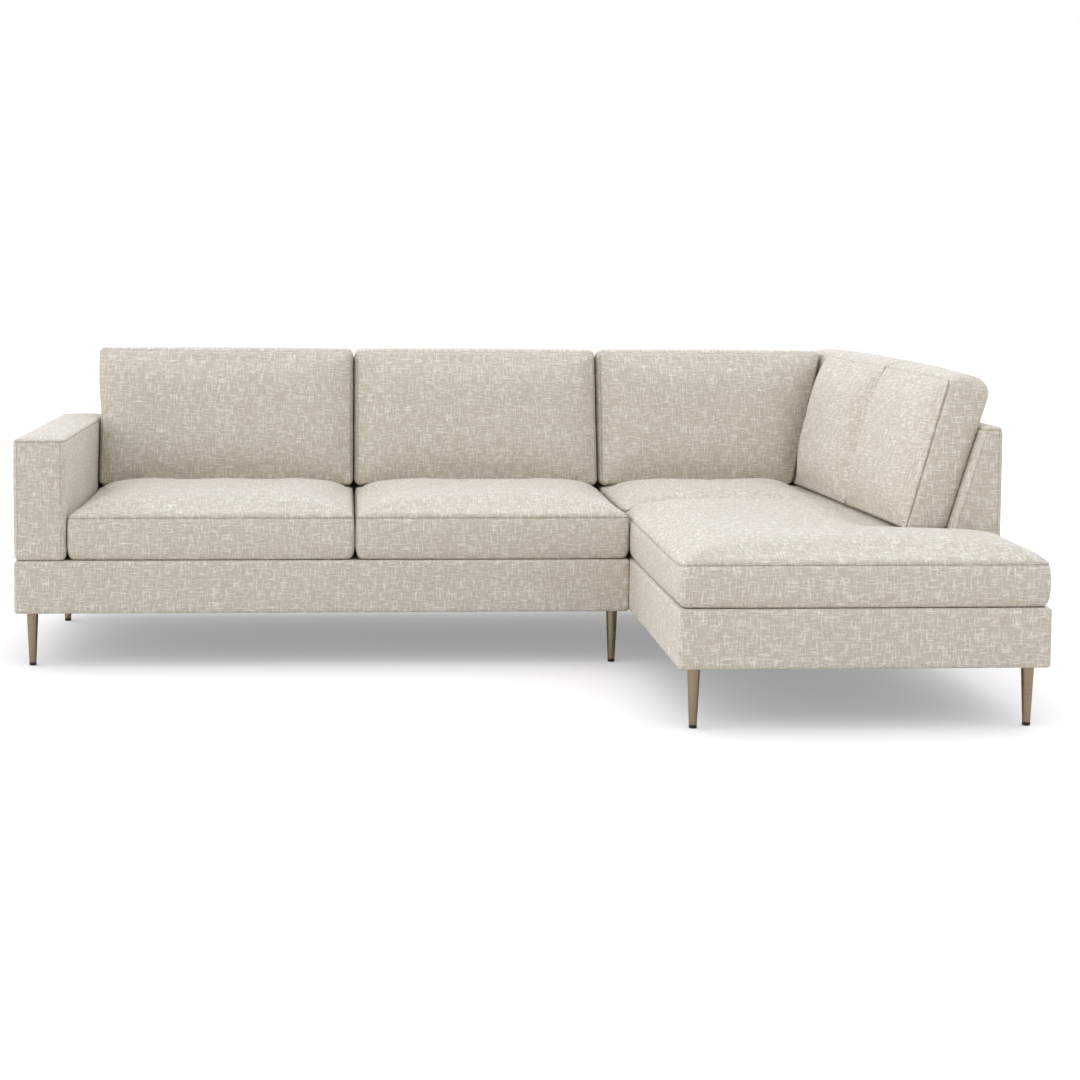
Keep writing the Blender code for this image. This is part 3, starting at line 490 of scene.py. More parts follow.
def rounded_plan(corners, radii):
    """A plan function that rounds each listed corner by its own radius."""
    def plan(u, v):
        for corner, radius in zip(corners, radii):
            moved = round_corner(u, v, corner, radius)
            if moved:
                return moved
        return u, v
    return plan


def from_corner(low):
    """A place function that starts a body at its lowest corner, without turning it."""
    return lambda x, y, z: (low.x + x, low.y + y, low.z + z)


def ease(distance, reach):
    """0 at an edge, rising to 1 at its reach, steep first and level at the end."""
    return math.sin(math.pi / 2 * min(1.0, max(0.0, distance / reach)))


def roll_over(distance, reach):
    """A quarter circle: it rises upright at an edge, and is level at its reach."""
    left = 1.0 - min(1.0, max(0.0, distance / reach))
    return math.sqrt(1.0 - left * left)


def distance_to(rectangle, u, v):
    """How far a point is from a rectangle (u low, u high, v low, v high)."""
    low_u, high_u, low_v, high_v = rectangle
    return math.hypot(max(low_u - u, 0.0, u - high_u), max(low_v - v, 0.0, v - high_v))


def wobble(x, y, seed, length):
    """Smooth, repeatable unevenness between -1 and 1, with swellings about a length apart."""
    return noise.noise(Vector((x / length, y / length, seed)))


print("a seam 20 mm in has", round(ease(0.02, 0.14), 2), "of its crown")

# %% [markdown]
# ## Cushions
# Each cushion is a boxed one: two panels and a strip between them, the boxing. A seat has its seam where the
# boxing meets the top panel, straight and crisp, and a well rounded lower edge. A back cushion rolls over at
# its front edge, so its seam lies on the front face, drawn in at mid-side and out again at the corners. The
# sewn case comes first, with its seams in their real places, and the filling follows in the next step.

# %% Cushion measures
PRESS_REACH = 0.100
SHOULDER_REACH = 0.055
SHOULDER_RISE = 12 * MM
CUSHION_CELL = 10 * MM
CORNER_STEPS = [step * MM for step in (0, 3, 7, 12, 18, 24, 30)]
SEAT_WALL = 114 * MM
BACK_WALL = 130 * MM


def rings(wall, upper, lower):
    """A profile from rings in millimetres, where the upper ones are measured from the wall's top edge."""
    return [(inset * MM, wall + height * MM, draw * MM) for inset, height, draw in upper] + [
        (inset * MM, height * MM, draw * MM) for inset, height, draw in lower]


SEAT_PROFILE = rings(
    SEAT_WALL,
    [(2.2, 1.0, 0.8), (3.7, -0.1, 0.8), (4.5, -1.1, 0.8), (3.1, -2.2, 0.7), (1.7, -4.4, 0.5),
     (0.9, -11, 0.2)],
    [(0.5, 90, 0), (0.1, 70, 0), (0.1, 50, 0), (0.5, 34, -0.2), (1.8, 22, -0.8), (4.4, 12.5, -2.2),
     (8.0, 6.0, -4.0), (12, 2.4, -5.5), (15.5, 0.7, -5.0), (20, 0, -4.0)])
BACK_PROFILE = rings(
    BACK_WALL,
    [(6.4, 2.4, 4), (7.8, 1.2, 4), (9.4, -0.4, 4), (9.4, -1.4, 4), (6.6, -2.6, 4), (3.4, -4.8, 3.5),
     (1.4, -12, 2), (0.6, -22, 1)],
    [(0.2, 90, 0), (0.2, 72, 0), (0.5, 56, 0), (1.4, 41, 0.4), (3.2, 28, 1.5), (5.5, 17, 3.5),
     (8.5, 8.5, 5.5), (11, 3, 7), (13, 0, 8)])
print("rings round a seat:", len(SEAT_PROFILE), "and round a back cushion:", len(BACK_PROFILE))

# %% [markdown]
# ## Filling
# Foam and fibre press outwards inside a sewn case, so a real panel bulges where it is free and stays where
# it is sewn or where something lies on it. Blender's Cloth does the same when it has pressure and no gravity.
# The case is filled for a few frames, the boxing, the seams and the pressed parts are held, and the shape it
# reaches is kept in the mesh, so nothing is left to simulate. Pressure has no end of its own, so the way that
# a point may go is capped. A remesh would round the seams away, so the case keeps its own faces.

# %% Filling a cushion
FREE_REACH = 30 * MM
FIRM_PRESSURE = 1.6  # foam with a firm core, in the seats
SOFT_PRESSURE = 3.5  # fibre, in the back cushions
SPARE_CLOTH = 0.010  # the share by which the cloth is cut larger than its case
FRAMES = 16
MOST_MOVE = 10 * MM


def fill_up(piece, freedoms, pressure):
    """Blows a sewn cushion up from inside, as its filling does, and keeps the result as its shape.

    freedoms says how far each point of the top panel may follow: 0 at a seam or under a load, 1 well inside.
    """
    sewn = [point.co.copy() for point in piece.data.vertices]
    group = piece.vertex_groups.new(name="held")
    group.add([n for n in range(len(sewn)) if n >= len(freedoms) or freedoms[n] < 0.01], 1.0, "REPLACE")
    cloth = piece.modifiers.new("filling", "CLOTH")
    cloth.settings.vertex_group_mass = group.name
    cloth.settings.use_pressure = True
    cloth.settings.uniform_pressure_force = pressure
    cloth.settings.shrink_min = -SPARE_CLOTH
    cloth.settings.effector_weights.gravity = 0.0
    for step in range(1, FRAMES + 1):
        bpy.context.scene.frame_set(step)
    filled = piece.evaluated_get(bpy.context.evaluated_depsgraph_get()).data
    moves = [filled.vertices[n].co - sewn[n] for n in range(len(freedoms))]
    piece.modifiers.remove(cloth)
    piece.vertex_groups.clear()
    bpy.context.scene.frame_set(1)
    for n, move in enumerate(moves):
        length = max(move.length, 1e-9)
        capped = MOST_MOVE * math.tanh(length / MOST_MOVE)
        piece.data.vertices[n].co = sewn[n] + move * freedoms[n] * capped / length
    lengths = sorted(move.length for move in moves)
    print(piece.name, "filled: middle move", round(lengths[len(lengths) // 2] / MM, 1), "mm, most",
          round(lengths[-1] / MM, 1), "mm")


print("at most", MOST_MOVE, "m in", FRAMES, "frames")

# %% A boxed cushion
def cushion(name, size, profile, panel, place, seed, pressed, notch, radii, drawn, relief, sag=None):
    """A boxed cushion over a width and a length, with panel (crown, level where pressed, and four reaches).

    pressed lists rectangles where something lies on it, and notch is where its far right part is missing.
    radii are its corners', drawn says how much each side gives way mid-side, and relief and sag add to them.
    """
    width, length = size
    height, firm, *reaches = panel
    stops_u, stops_v = [0.0, width], [0.0, length]
    corners = square_corners(width, length)
    gone = []
    if notch:
        stops_u.insert(1, notch[0])
        stops_v.insert(1, notch[1])
        corners[3:] = [(width, notch[1], -1, -1), (notch[0], length, -1, -1)]
        gone = [(notch[0], width, notch[1], length)]
    across = grid_lines(stops_u, CORNER_STEPS, CUSHION_CELL)
    along = grid_lines(stops_v, CORNER_STEPS, CUSHION_CELL)
    cells = all_cells(across, along)
    if notch:
        cells = {(i, j) for i, j in cells if across[i] < notch[0] - 1e-6 or along[j] < notch[1] - 1e-6}

    def share(curve, u, v, spans, obstacles, reach):
        total = 1.0
        for distance, span in zip((u, width - u, v, length - v), spans):
            total *= curve(distance, span)
        for rectangle in obstacles:
            total *= curve(distance_to(rectangle, u, v), reach)
        return total

    def lift(u, v):
        full = share(ease, u, v, reaches, [*pressed, *gone], PRESS_REACH)
        shoulder = share(roll_over, u, v, [SHOULDER_REACH] * 4, gone, SHOULDER_REACH)
        free = math.prod(ease(distance_to(rectangle, u, v), PRESS_REACH) for rectangle in pressed)
        edge = min(u, width - u, v, length - v)
        crumple = 1.6 * MM * wobble(u, v, seed, 0.11) + 0.7 * MM * wobble(u, v, seed + 5, 0.035)
        pucker = 0.9 * MM * wobble(u, v, seed + 9, 0.016) * math.exp(-edge / (18 * MM))
        low = firm + SHOULDER_RISE * free
        return low * shoulder + (height - low) * full + (crumple + pucker) * min(1.0, 4 * full)

    def slack(u, v):
        if v in (0.0, length):
            return drawn[2 if v == 0.0 else 3] * math.sqrt(math.sin(math.pi * min(1.0, u / width)))
        return drawn[0 if u == 0.0 else 1] * math.sqrt(math.sin(math.pi * min(1.0, v / length)))

    def uneven(u, v, z, out):
        return relief(u, v, z, out) - 0.4 * MM * abs(wobble(u + z, v + z, seed + 3, 0.05))

    def freedom(u, v):
        edge = min(u, width - u, v, length - v, *[distance_to(part, u, v) for part in [*pressed, *gone]])
        return min(1.0, edge / FREE_REACH)

    # These rings take painted shade in the linen: a dark line where a seam's fold lies in shadow.
    seams = (1, 2) if firm else (0, 1)  # on a seat the fold shows, on a back cushion only the panel's edge
    made = sewn_body(name, (across, along), cells, profile, rounded_plan(corners, radii), lift, place, slack,
                     uneven, sag, seams)
    freedoms = [freedom(across[i], along[j]) for i, j in grid_points(cells)]
    fill_up(made, freedoms, FIRM_PRESSURE if firm else SOFT_PRESSURE)
    return made


print("cushion cells of", CUSHION_CELL, "m, closer beside the seams")

# %% [markdown]
# ## The four seat cushions
# Two seats lie on the left section. On the right the corner seat lies behind a long L-shaped chaise cushion,
# which fills the front and has a notch where the low back down the side begins. The back cushions stand on
# their rear part and keep it flat.

# %% Where the back cushions stand
PRESS_MARGIN = 16 * MM
RAKE = math.radians(17)
CORNER_BOXING = 158 * MM
FRONT_BOXING = 106 * MM
BACK_TOP_THICKNESS = 50 * MM
FAR = 9.0  # beyond the sofa, where a pressed rectangle needs no edge
rear_low, rear_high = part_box("loveseat_back_cover")
side_low, side_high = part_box("return_back_cover")
rear_face = rear_high.y
side_face = side_high.x
back_top = rear_high.z
back_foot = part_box("left_back_cushion")[0].z


def back_thickness(z):
    """How thick a raked back is at a height."""
    return BACK_TOP_THICKNESS + (back_top - z) * math.tan(RAKE)


cushion_rear = back_thickness(back_foot) + 0.3 * MM / math.cos(RAKE)
press_y = rear_face - cushion_rear - BACK_WALL * math.cos(RAKE) - PRESS_MARGIN
press_x = side_face - cushion_rear - CORNER_BOXING * math.cos(RAKE) - PRESS_MARGIN
return_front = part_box("return_front_cushion")[0].y
rear_press = (-FAR, FAR, press_y, FAR)
seat_pressings = {
    "left_seat": [rear_press],
    "middle_seat": [rear_press],
    "corner_seat": [rear_press, (press_x, FAR, -FAR, FAR)],
    "chaise_seat": [(press_x, FAR, return_front - PRESS_MARGIN, FAR)],
}
print("back cushions press behind", round(press_y, 3), "m and to the right of", round(press_x, 3), "m")

# %% Seats
SEAT_CROWN = 40 * MM
SEAT_REACHES = (0.210, 0.210, 0.200, 0.140)
SEAT_CORNER = 19 * MM
SEAT_TOP_EDGE = 125 * MM  # where the frame's seat has its top edge, which the back cushions stand on
SIDE_SAG = 9 * MM
SAG_REACH = 30 * MM
CHAISE_FALL = 12 * MM
NEIGHBOUR_BELLY = 1.9 * MM
ARM_BELLY = 0.3 * MM
FRONT_BELLY = 3 * MM
NOTCH_GAP = 3 * MM
corner_seat_low, corner_seat_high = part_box("corner_seat_cushion")


def seat_relief(left, right):
    """Each side swells a little towards the cushion beside it."""
    def relief(u, v, z, out):
        belly = math.sin(math.pi * min(1.0, max(0.0, z / SEAT_WALL)))
        beside = left * max(0.0, -out.x) + right * max(0.0, out.x)
        return belly * (beside + FRONT_BELLY * max(0.0, -out.y) ** 2)
    return relief


def seat_sag(size, pressed, fall):
    """Seats give way beside their neighbours, and the chaise's edge drops a little towards its front."""
    width, length = size

    def sag(u, v, z):
        beside = math.exp(-min(u, width - u) / SAG_REACH) * ease(v, 0.12)
        for rectangle in pressed:
            beside *= ease(distance_to(rectangle, u, v), PRESS_REACH)
        return (SIDE_SAG * beside + fall * (1 - v / length)) * (z / SEAT_WALL) ** 2
    return sag


for seed, (body, pressings) in enumerate(seat_pressings.items()):
    node = body + "_cushion"
    low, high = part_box(node)
    size = (high.x - low.x, high.y - low.y)
    rectangles = [(u0 - low.x, u1 - low.x, v0 - low.y, v1 - low.y) for u0, u1, v0, v1 in pressings]
    chaise = body == "chaise_seat"
    notch = (corner_seat_high.x - low.x, side_low.y - NOTCH_GAP - low.y) if chaise else None
    left_belly = ARM_BELLY if body == "left_seat" else NEIGHBOUR_BELLY
    panel = (SEAT_CROWN, SEAT_TOP_EDGE - SEAT_WALL, *SEAT_REACHES)
    made = cushion(node + "_cover", size, SEAT_PROFILE, panel, from_corner(low), 11.3 * (seed + 1),
                   rectangles, notch, [SEAT_CORNER] * 5, (1, 1, 1, 1),
                   seat_relief(left_belly, NEIGHBOUR_BELLY),
                   seat_sag(size, rectangles, CHAISE_FALL if chaise else 0.0))
    dress(made, linen, "upholstery", body, node)

# %% [markdown]
# ## The five back cushions
# They stand on the seats and lean on the raked backs. Each is drawn flat, as it would lie on a table, and
# carried to its place: up along the rake, out from the back, and round the corner for the two on the right.
# The ends that meet in the corner are cut on the slant, and the pair on the right thins towards the front.

# %% Placing a back cushion
BACK_HEIGHT = 395 * MM
ARM_MARGIN = 6 * MM
above_arm = (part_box("left_arm_cover")[1].z - back_foot) / math.cos(RAKE) + ARM_MARGIN


def back_place(start, width, boxings, slopes, sideways, falls):
    """Carries a cushion's own coordinates to the world."""
    first, last = boxings

    def place(u, v, w):
        v *= 1 - falls[0] - (falls[1] - falls[0]) * u / width
        rise = v * math.cos(RAKE) + w * math.sin(RAKE) * v / BACK_HEIGHT
        w *= (first + (last - first) * u / width) / BACK_WALL
        splay = rise * (slopes[1] * u / width - slopes[0] * (1 - u / width))
        lean = v * math.sin(RAKE) - w * math.cos(RAKE) - cushion_rear
        if sideways:
            return (side_face + lean, start - u - splay, back_foot + rise)
        return (start + u + splay, rear_face + lean, back_foot + rise)
    return place


print("the arm reaches", round(above_arm, 3), "m up the left back cushion")

# %% Shaping a back cushion's sides
SEAM_REACH = 14 * MM
SNUG_SEAM = 2.0 * MM


def back_relief(width, swell, lean, seam_drop, snug, bellies, overhang):
    """The boxing swells upwards along the top, the seam lies lower there, and a snug side keeps its seam out.

    lean under 1 moves the highest part of the swelling towards the rear. bellies are (swelling, lean, wave)
    of the left and the right side, and overhang is how far the left side bulges out above the arm.
    """
    def relief(u, v, z, out):
        deep = min(1.0, max(0.0, z / BACK_WALL))
        near_seam = math.exp(-max(0.0, BACK_WALL - z) / SEAM_REACH)
        along = min(1.0, max(0.0, u / width))
        along = (along + (1.0 if snug < 0 else 0.0)) / 2 if snug else along
        mid = 0.55 + 0.45 * math.sqrt(math.sin(math.pi * along))
        top = max(0.0, out.y) ** 2 * (swell * mid * math.sin(math.pi * deep ** lean) - seam_drop * near_seam)
        belly = sum(max(0.0, out.x * way) * (gain * math.sin(math.pi * deep ** back)
                                             + way * wave * math.sin(2 * math.pi * deep))
                    for way, (gain, back, wave) in zip((-1, 1), bellies))
        over = overhang * max(0.0, -out.x) * ease(v - above_arm, 0.12)
        return top + belly + over + max(0.0, out.x * snug) ** 2 * SNUG_SEAM * near_seam
    return relief


def face_slope(boxing):
    """How far the front of a back cushion of this thickness leans per metre of height."""
    return math.sin(RAKE) / (math.cos(RAKE) + boxing * math.sin(RAKE) / BACK_HEIGHT)


print("the end in the corner is cut to", round(face_slope(CORNER_BOXING), 3), "m per metre of height")

# %% Where each back cushion begins and ends
BACK_CROWN = 36 * MM
END_GROWTH = 12 * MM
END_GAP = 3 * MM
CUSHION_GAP = 1.5 * MM
left_low, left_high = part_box("left_back_cushion")
middle_low, middle_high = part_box("middle_back_cushion")
corner_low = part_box("corner_back_cushion")[0]
corner_end = side_face - cushion_rear - CORNER_BOXING * math.cos(RAKE) - END_GAP
rear_start = rear_face - back_thickness(back_foot) - END_GAP
split_y = corner_seat_low.y - CUSHION_GAP
joint_share = (rear_start - split_y) / (rear_start - return_front)
joint_boxing = CORNER_BOXING + (FRONT_BOXING - CORNER_BOXING) * joint_share
covered = rear_start - (rear_face - cushion_rear - BACK_WALL * math.cos(RAKE)) + BACK_CROWN / 2
even = (BACK_WALL, BACK_WALL)
back_cushions = {  # start, width, boxing at each end, slope of each end, how far each end falls, snug end
    "left_back": (left_low.x, left_high.x - left_low.x, even, (0, 0), (0, 0), 0),
    "middle_back": (middle_low.x, middle_high.x - middle_low.x, even, (0, 0), (0, 0), 0),
    "corner_back": (corner_low.x, corner_end - corner_low.x, even, (0, face_slope(CORNER_BOXING)), (0, 0), 0),
    "return_rear": (rear_start, rear_start - split_y - CUSHION_GAP, (CORNER_BOXING, joint_boxing),
                    (math.tan(RAKE), 0), (0, 0.02), 1),
    "return_front": (split_y - CUSHION_GAP, split_y - CUSHION_GAP - return_front + END_GROWTH,
                     (joint_boxing, FRONT_BOXING), (0, 0), (0.02, 0.036), -1),
}
print("widths:", {body: round(told[1], 3) for body, told in back_cushions.items()})

# %% Back cushions
BACK_REACH = 0.150
JOINT_REACH = 0.090
BACK_CORNER = 20 * MM
JOINT_ROUNDING = 18 * MM
SOFT_CORNER = 30 * MM
ARM_OVERHANG = 9 * MM
TOP_SWELLING = (12 * MM, 0.7, 5 * MM)  # swell, lean and seam drop of a cushion along the rear
RETURN_SWELLING = (24 * MM, 0.62, 7 * MM)
OPEN_BELLY = (2.4 * MM, 1.0, 1.2 * MM)  # neighbours lie in each other's hollows, so no light comes through
JOINT_BELLY = (1.2 * MM, 1.0, 0.0)
END_BELLY = (14 * MM, 0.35, 0.0)
side_bellies = {
    "left_back": [(ARM_BELLY, 1.0, 0.0), OPEN_BELLY],
    "middle_back": [OPEN_BELLY, OPEN_BELLY],
    "corner_back": [OPEN_BELLY, JOINT_BELLY],
    "return_rear": [JOINT_BELLY, JOINT_BELLY],
    "return_front": [JOINT_BELLY, END_BELLY],
}
for seed, (body, told) in enumerate(back_cushions.items()):
    start, width, boxings, slopes, falls, snug = told
    node = body + "_cushion"
    sideways = snug != 0
    rounding = [BACK_CORNER] * 4
    reaches = [BACK_REACH] * 4
    drawn = [0.3, 0.3, 0.3, 1.0]
    if sideways:
        joint = 1 if snug > 0 else 0
        rounding[joint] = rounding[joint + 2] = JOINT_ROUNDING
        reaches[joint] = JOINT_REACH
        drawn[joint] = 0.0
    if body == "return_front":
        rounding[3] = SOFT_CORNER
    pressed = [(0.0, covered, 0.0, BACK_HEIGHT)] if body == "return_rear" else []
    overhang = ARM_OVERHANG if body == "left_back" else 0.0
    swelling = RETURN_SWELLING if sideways else TOP_SWELLING
    made = cushion(node + "_cover", (width, BACK_HEIGHT), BACK_PROFILE, (BACK_CROWN, 0.0, *reaches),
                   back_place(start, width, boxings, slopes, sideways, falls), 7.7 * (seed + 1), pressed,
                   None, rounding, drawn, back_relief(width, *swelling, snug, side_bellies[body], overhang))
    dress(made, linen, "upholstery", body, node)

# %% [markdown]
# ## Arm and backs
# The arm and the backs are wooden frames with foam and a tight cover. Tight cloth shows its seams: the top
# panel meets the sides a finger's width below the edge, and the front panel has an upright seam beside each
# corner. The backs lean on the inside only, so a straight body is drawn and its front half slides forward
# lower down. Each cover is open below, where the frame goes in, so its rings run down outside, round the hem
# and up inside.

# %% A tight cover
COVER_WALL = 14 * MM
COVER_CELL = 14 * MM
COVER_CORNER = 15 * MM
PANEL_SEAM = 11 * MM
EDGE_STEPS = [0, 2.5 * MM, 5 * MM, 7.5 * MM, 9.5 * MM, PANEL_SEAM, 12.5 * MM, 15 * MM, 20 * MM, 28 * MM]
SEAM_DEPTH = 2.4 * MM
TOP_SEAM_DROP = 8.5 * MM
SEAM_RING = 5  # the ring of a cover's profile in its seam, which takes painted shade


def cover_profile(height):
    """Rings of a cover from its top panel, over the edge, past the seam, down, round the hem and up."""
    seam = height - TOP_SEAM_DROP
    edge = [(12.5 * MM, height), (8.5 * MM, height - 0.6 * MM), (5.2 * MM, height - 2.2 * MM),
            (2.9 * MM, height - 4.5 * MM)]
    fold = [(1.7 * MM, seam + 1.7 * MM), (1.3 * MM + SEAM_DEPTH, seam), (0.9 * MM, seam - 1.7 * MM),
            (0.2 * MM, seam - 7 * MM)]
    side = [(0, height * 0.75), (0, height * 0.5), (0, height * 0.25), (0, 24 * MM)]
    hem = [(0.5 * MM, 15 * MM), (1.8 * MM, 9 * MM), (4.2 * MM, 4.5 * MM), (7.5 * MM, 1.6 * MM),
           (11 * MM, 0.2 * MM), (COVER_WALL - 1 * MM, 0), (COVER_WALL, 1 * MM),
           (COVER_WALL, height - COVER_WALL)]
    return [(inset, level, 0) for inset, level in edge + fold + side + hem]


def groove(distance):
    """The section of a sewn seam: full depth on the line, gone 1.5 mm beside it."""
    return max(0.0, 1.0 - abs(distance) / (1.5 * MM))


def cover(name, size, place, seed):
    """A tight cover over a width, a length and a height, with its front panel at v = 0."""
    width, length, height = size
    grid = [grid_lines([0, side], EDGE_STEPS, COVER_CELL) for side in (width, length)]

    def lift(u, v):
        full = ease(u, 0.05) * ease(width - u, 0.05) * ease(v, 0.05) * ease(length - v, 0.05)
        return full * (4.5 * MM + 0.8 * MM * wobble(u, v, seed, 0.09))

    # front_seams draws the upright grooves and also marks their painted shade.
    def front_seams(u, v, z, out):
        upright = 0 < z < height - TOP_SEAM_DROP and out.y < -0.9
        return 0.6 * (groove(u - PANEL_SEAM) + groove(width - u - PANEL_SEAM)) if upright else 0.0

    def relief(u, v, z, out):
        if not 0 < z < height - 12 * MM:
            return 0.0
        run, span = (u, width) if abs(out.y) > abs(out.x) else (v, length)
        swell = ease(run, 0.06) * ease(span - run, 0.06) * ease(z, 0.05) * ease(height - 11 * MM - z, 0.05)
        swollen = swell * (1.0 * MM + 0.4 * MM * wobble(run, z, seed + 4, 0.1))
        return swollen - SEAM_DEPTH * front_seams(u, v, z, out)

    plan = rounded_plan(square_corners(width, length), [COVER_CORNER] * 4)
    return sewn_body(name, grid, all_cells(*grid), cover_profile(height), plan, lift, place, relief=relief,
                     seams=[SEAM_RING], stitched=front_seams)


print("a cover's seam lies", TOP_SEAM_DROP, "m below its top")

# %% Arm and backs
base_top = rear_low.z
back_height = back_top - base_top


def raked(z):
    """How much further forward the front of a back lies at a height above its own foot."""
    return (back_top - base_top - z) * math.tan(RAKE)


def rear_back_place(start, middle, end_slope):
    """A back along the rear: its front half slides forward lower down, its right end may lean outwards."""
    def place(x, y, z):
        lean = z * end_slope if x > middle else 0.0
        slide = raked(z) if y < BACK_TOP_THICKNESS / 2 else 0.0
        return (start + x + lean, rear_face - BACK_TOP_THICKNESS + y - slide, base_top + z)
    return place


def side_back_place(start):
    """The back down the right side, whose length runs along Y and whose outer face is on the right."""
    def place(x, y, z):
        slide = raked(z) if x < BACK_TOP_THICKNESS / 2 else 0.0
        return (side_face - BACK_TOP_THICKNESS + x - slide, start + y, base_top + z)
    return place


arm_low, arm_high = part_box("left_arm_cover")
corner_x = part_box("corner_back_cover")[0].x
corner_length = side_low.x - 0.6 * MM - corner_x
covers = {
    "left_arm": ((arm_high.x - arm_low.x, arm_high.y - arm_low.y, arm_high.z - arm_low.z),
                 from_corner(arm_low), 2.1),
    "loveseat_back": ((rear_high.x - rear_low.x, BACK_TOP_THICKNESS, back_height),
                      rear_back_place(rear_low.x, 0.5, 0.0), 3.4),
    "corner_back": ((corner_length, BACK_TOP_THICKNESS, back_height),
                    rear_back_place(corner_x, corner_length / 2, math.tan(RAKE)), 4.6),
    "return_back": ((BACK_TOP_THICKNESS, side_high.y - side_low.y, back_height),
                    side_back_place(side_low.y), 5.9),
}
for part, (size, place, seed) in covers.items():
    made = cover(part + "_upholstery", size, place, seed)
    dress(made, linen, "upholstery", "frame", part + "_cover")

# %% [markdown]
# ## Upholstered rails
# The base of each section is four rails, each wrapped in the same linen over thin foam. A rail keeps the step
# at its top inner edge that the deck lies in, so the cloth follows the step. The outer face swells a little
# between its edges, and the cloth rolls over them, which a bevel of one radius would make look like a plank.

# %% Rails
RAIL_STEP = 12 * MM
STEP_DEPTH = 14 * MM
RAIL_CELL = 14 * MM
OUTER_CORNER = 10 * MM
JOINT_CORNER = 1.2 * MM
EDGE_RADIUS = 8 * MM
END_STEPS = [0, 1.2 * MM, 3 * MM, 6 * MM, 12 * MM, 24 * MM]
NEAR_EDGE = [0, 0.4 * MM, 1.4 * MM, 3.2 * MM, 5.4 * MM, EDGE_RADIUS]


def round_off(z, height):
    """How far back the face lies at a height, where the cloth rolls over the rail's upper and lower edge."""
    short = max(0.0, EDGE_RADIUS - z, z - (height - EDGE_RADIUS))
    return EDGE_RADIUS - math.sqrt(max(0.0, EDGE_RADIUS ** 2 - short ** 2))


def rail(node, side, seed):
    """One upholstered rail. Its own u runs along it, v goes in from its outer face, and z goes up."""
    low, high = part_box(node)
    crosswise = side in ("front", "rear")
    length = high.x - low.x if crosswise else high.y - low.y
    depth = high.y - low.y if crosswise else high.x - low.x
    height = high.z - low.z
    inner = depth - RAIL_STEP
    end_radius = OUTER_CORNER if crosswise else JOINT_CORNER
    ends = [inner, inner + 0.3 * MM, length - inner - 0.3 * MM, length - inner] if crosswise else []
    across = grid_lines([0, length], END_STEPS, RAIL_CELL, ends)
    along = [0, 0.6 * MM, 1.2 * MM, 3 * MM, 6 * MM, 11 * MM, inner, inner + 0.3 * MM, inner + 6 * MM,
             depth - 1.2 * MM, depth]

    def stepped(u, v):
        return v > inner + 0.1 * MM and not (crosswise and min(u, length - u) < inner + 0.1 * MM)

    def lift(u, v):
        return -STEP_DEPTH if stepped(u, v) else 0.0

    def relief(u, v, z, out):
        if v > 1e-6 or abs(out.y) < 0.9:
            return 0.0
        swell = ease(u, 0.04) * ease(length - u, 0.04) * ease(z, 0.045) * ease(height - z, 0.045)
        return swell * (1.6 * MM + 0.9 * MM * wobble(u, z, seed, 0.12))

    def place(x, y, z):
        back = round_off(z, height)
        if stepped(x, y):
            z = min(z, height - STEP_DEPTH)
        y += back * max(0.0, 1 - y / inner) ** 2
        if crosswise:
            x += back * (max(0.0, 1 - x / inner) ** 2 - max(0.0, 1 - (length - x) / inner) ** 2)
            return (low.x + x, low.y + y if side == "front" else high.y - y, low.z + z)
        return (low.x + y if side == "left" else high.x - y, low.y + x, low.z + z)

    levels = [height - step for step in NEAR_EDGE] + [
        height - STEP_DEPTH, height - 30 * MM, height * 0.6, height * 0.4, 30 * MM, 14 * MM] + NEAR_EDGE[::-1]
    plan = rounded_plan(square_corners(length, depth), [end_radius, end_radius, JOINT_CORNER, JOINT_CORNER])
    return sewn_body(node + "_cover", (across, along), all_cells(across, along),
                     [(0, level, 0) for level in levels], plan, lift, place, relief=relief)


for section in ("loveseat", "chaise"):
    for number, side in enumerate(("front", "rear", "left", "right")):
        node = f"{section}_{side}_rail"
        dress(rail(node, side, number + 1.5), linen, "upholstery", "frame", node)

# %% [markdown]
# ## Legs
# Eight turned legs, slim cones of steel tube. The frame's legs have sixteen sides, which shows at the edges,
# so each is turned again with many more and with a soft edge where the tube ends. Blender's Screw modifier
# turns a profile too; here a short loop does, because all eight share it.

# %% A lathe
TURNED_SIDES = 64


def turned(name, profile, centre):
    """A lathe form from (radius, height) points that start and end on the axis."""
    points, faces, circles = [], [], []
    for radius, height in profile:
        count = TURNED_SIDES if radius > 0 else 1
        circles.append([len(points) + k for k in range(count)])
        for k in range(count):
            angle = 2 * math.pi * k / TURNED_SIDES
            x = centre[0] + radius * math.cos(angle)
            y = centre[1] + radius * math.sin(angle)
            points.append((x, y, height))
    for lower, upper in zip(circles, circles[1:]):
        for k in range(TURNED_SIDES):
            after = (k + 1) % TURNED_SIDES
            edge = ((lower, k), (lower, after), (upper, after), (upper, k))
            faces.append(list(dict.fromkeys(circle[step % len(circle)] for circle, step in edge)))
    made = mesh_object(name, points, faces)
    made.data.set_sharp_from_angle(angle=math.radians(35))
    return made


print("turned forms have", TURNED_SIDES, "sides")

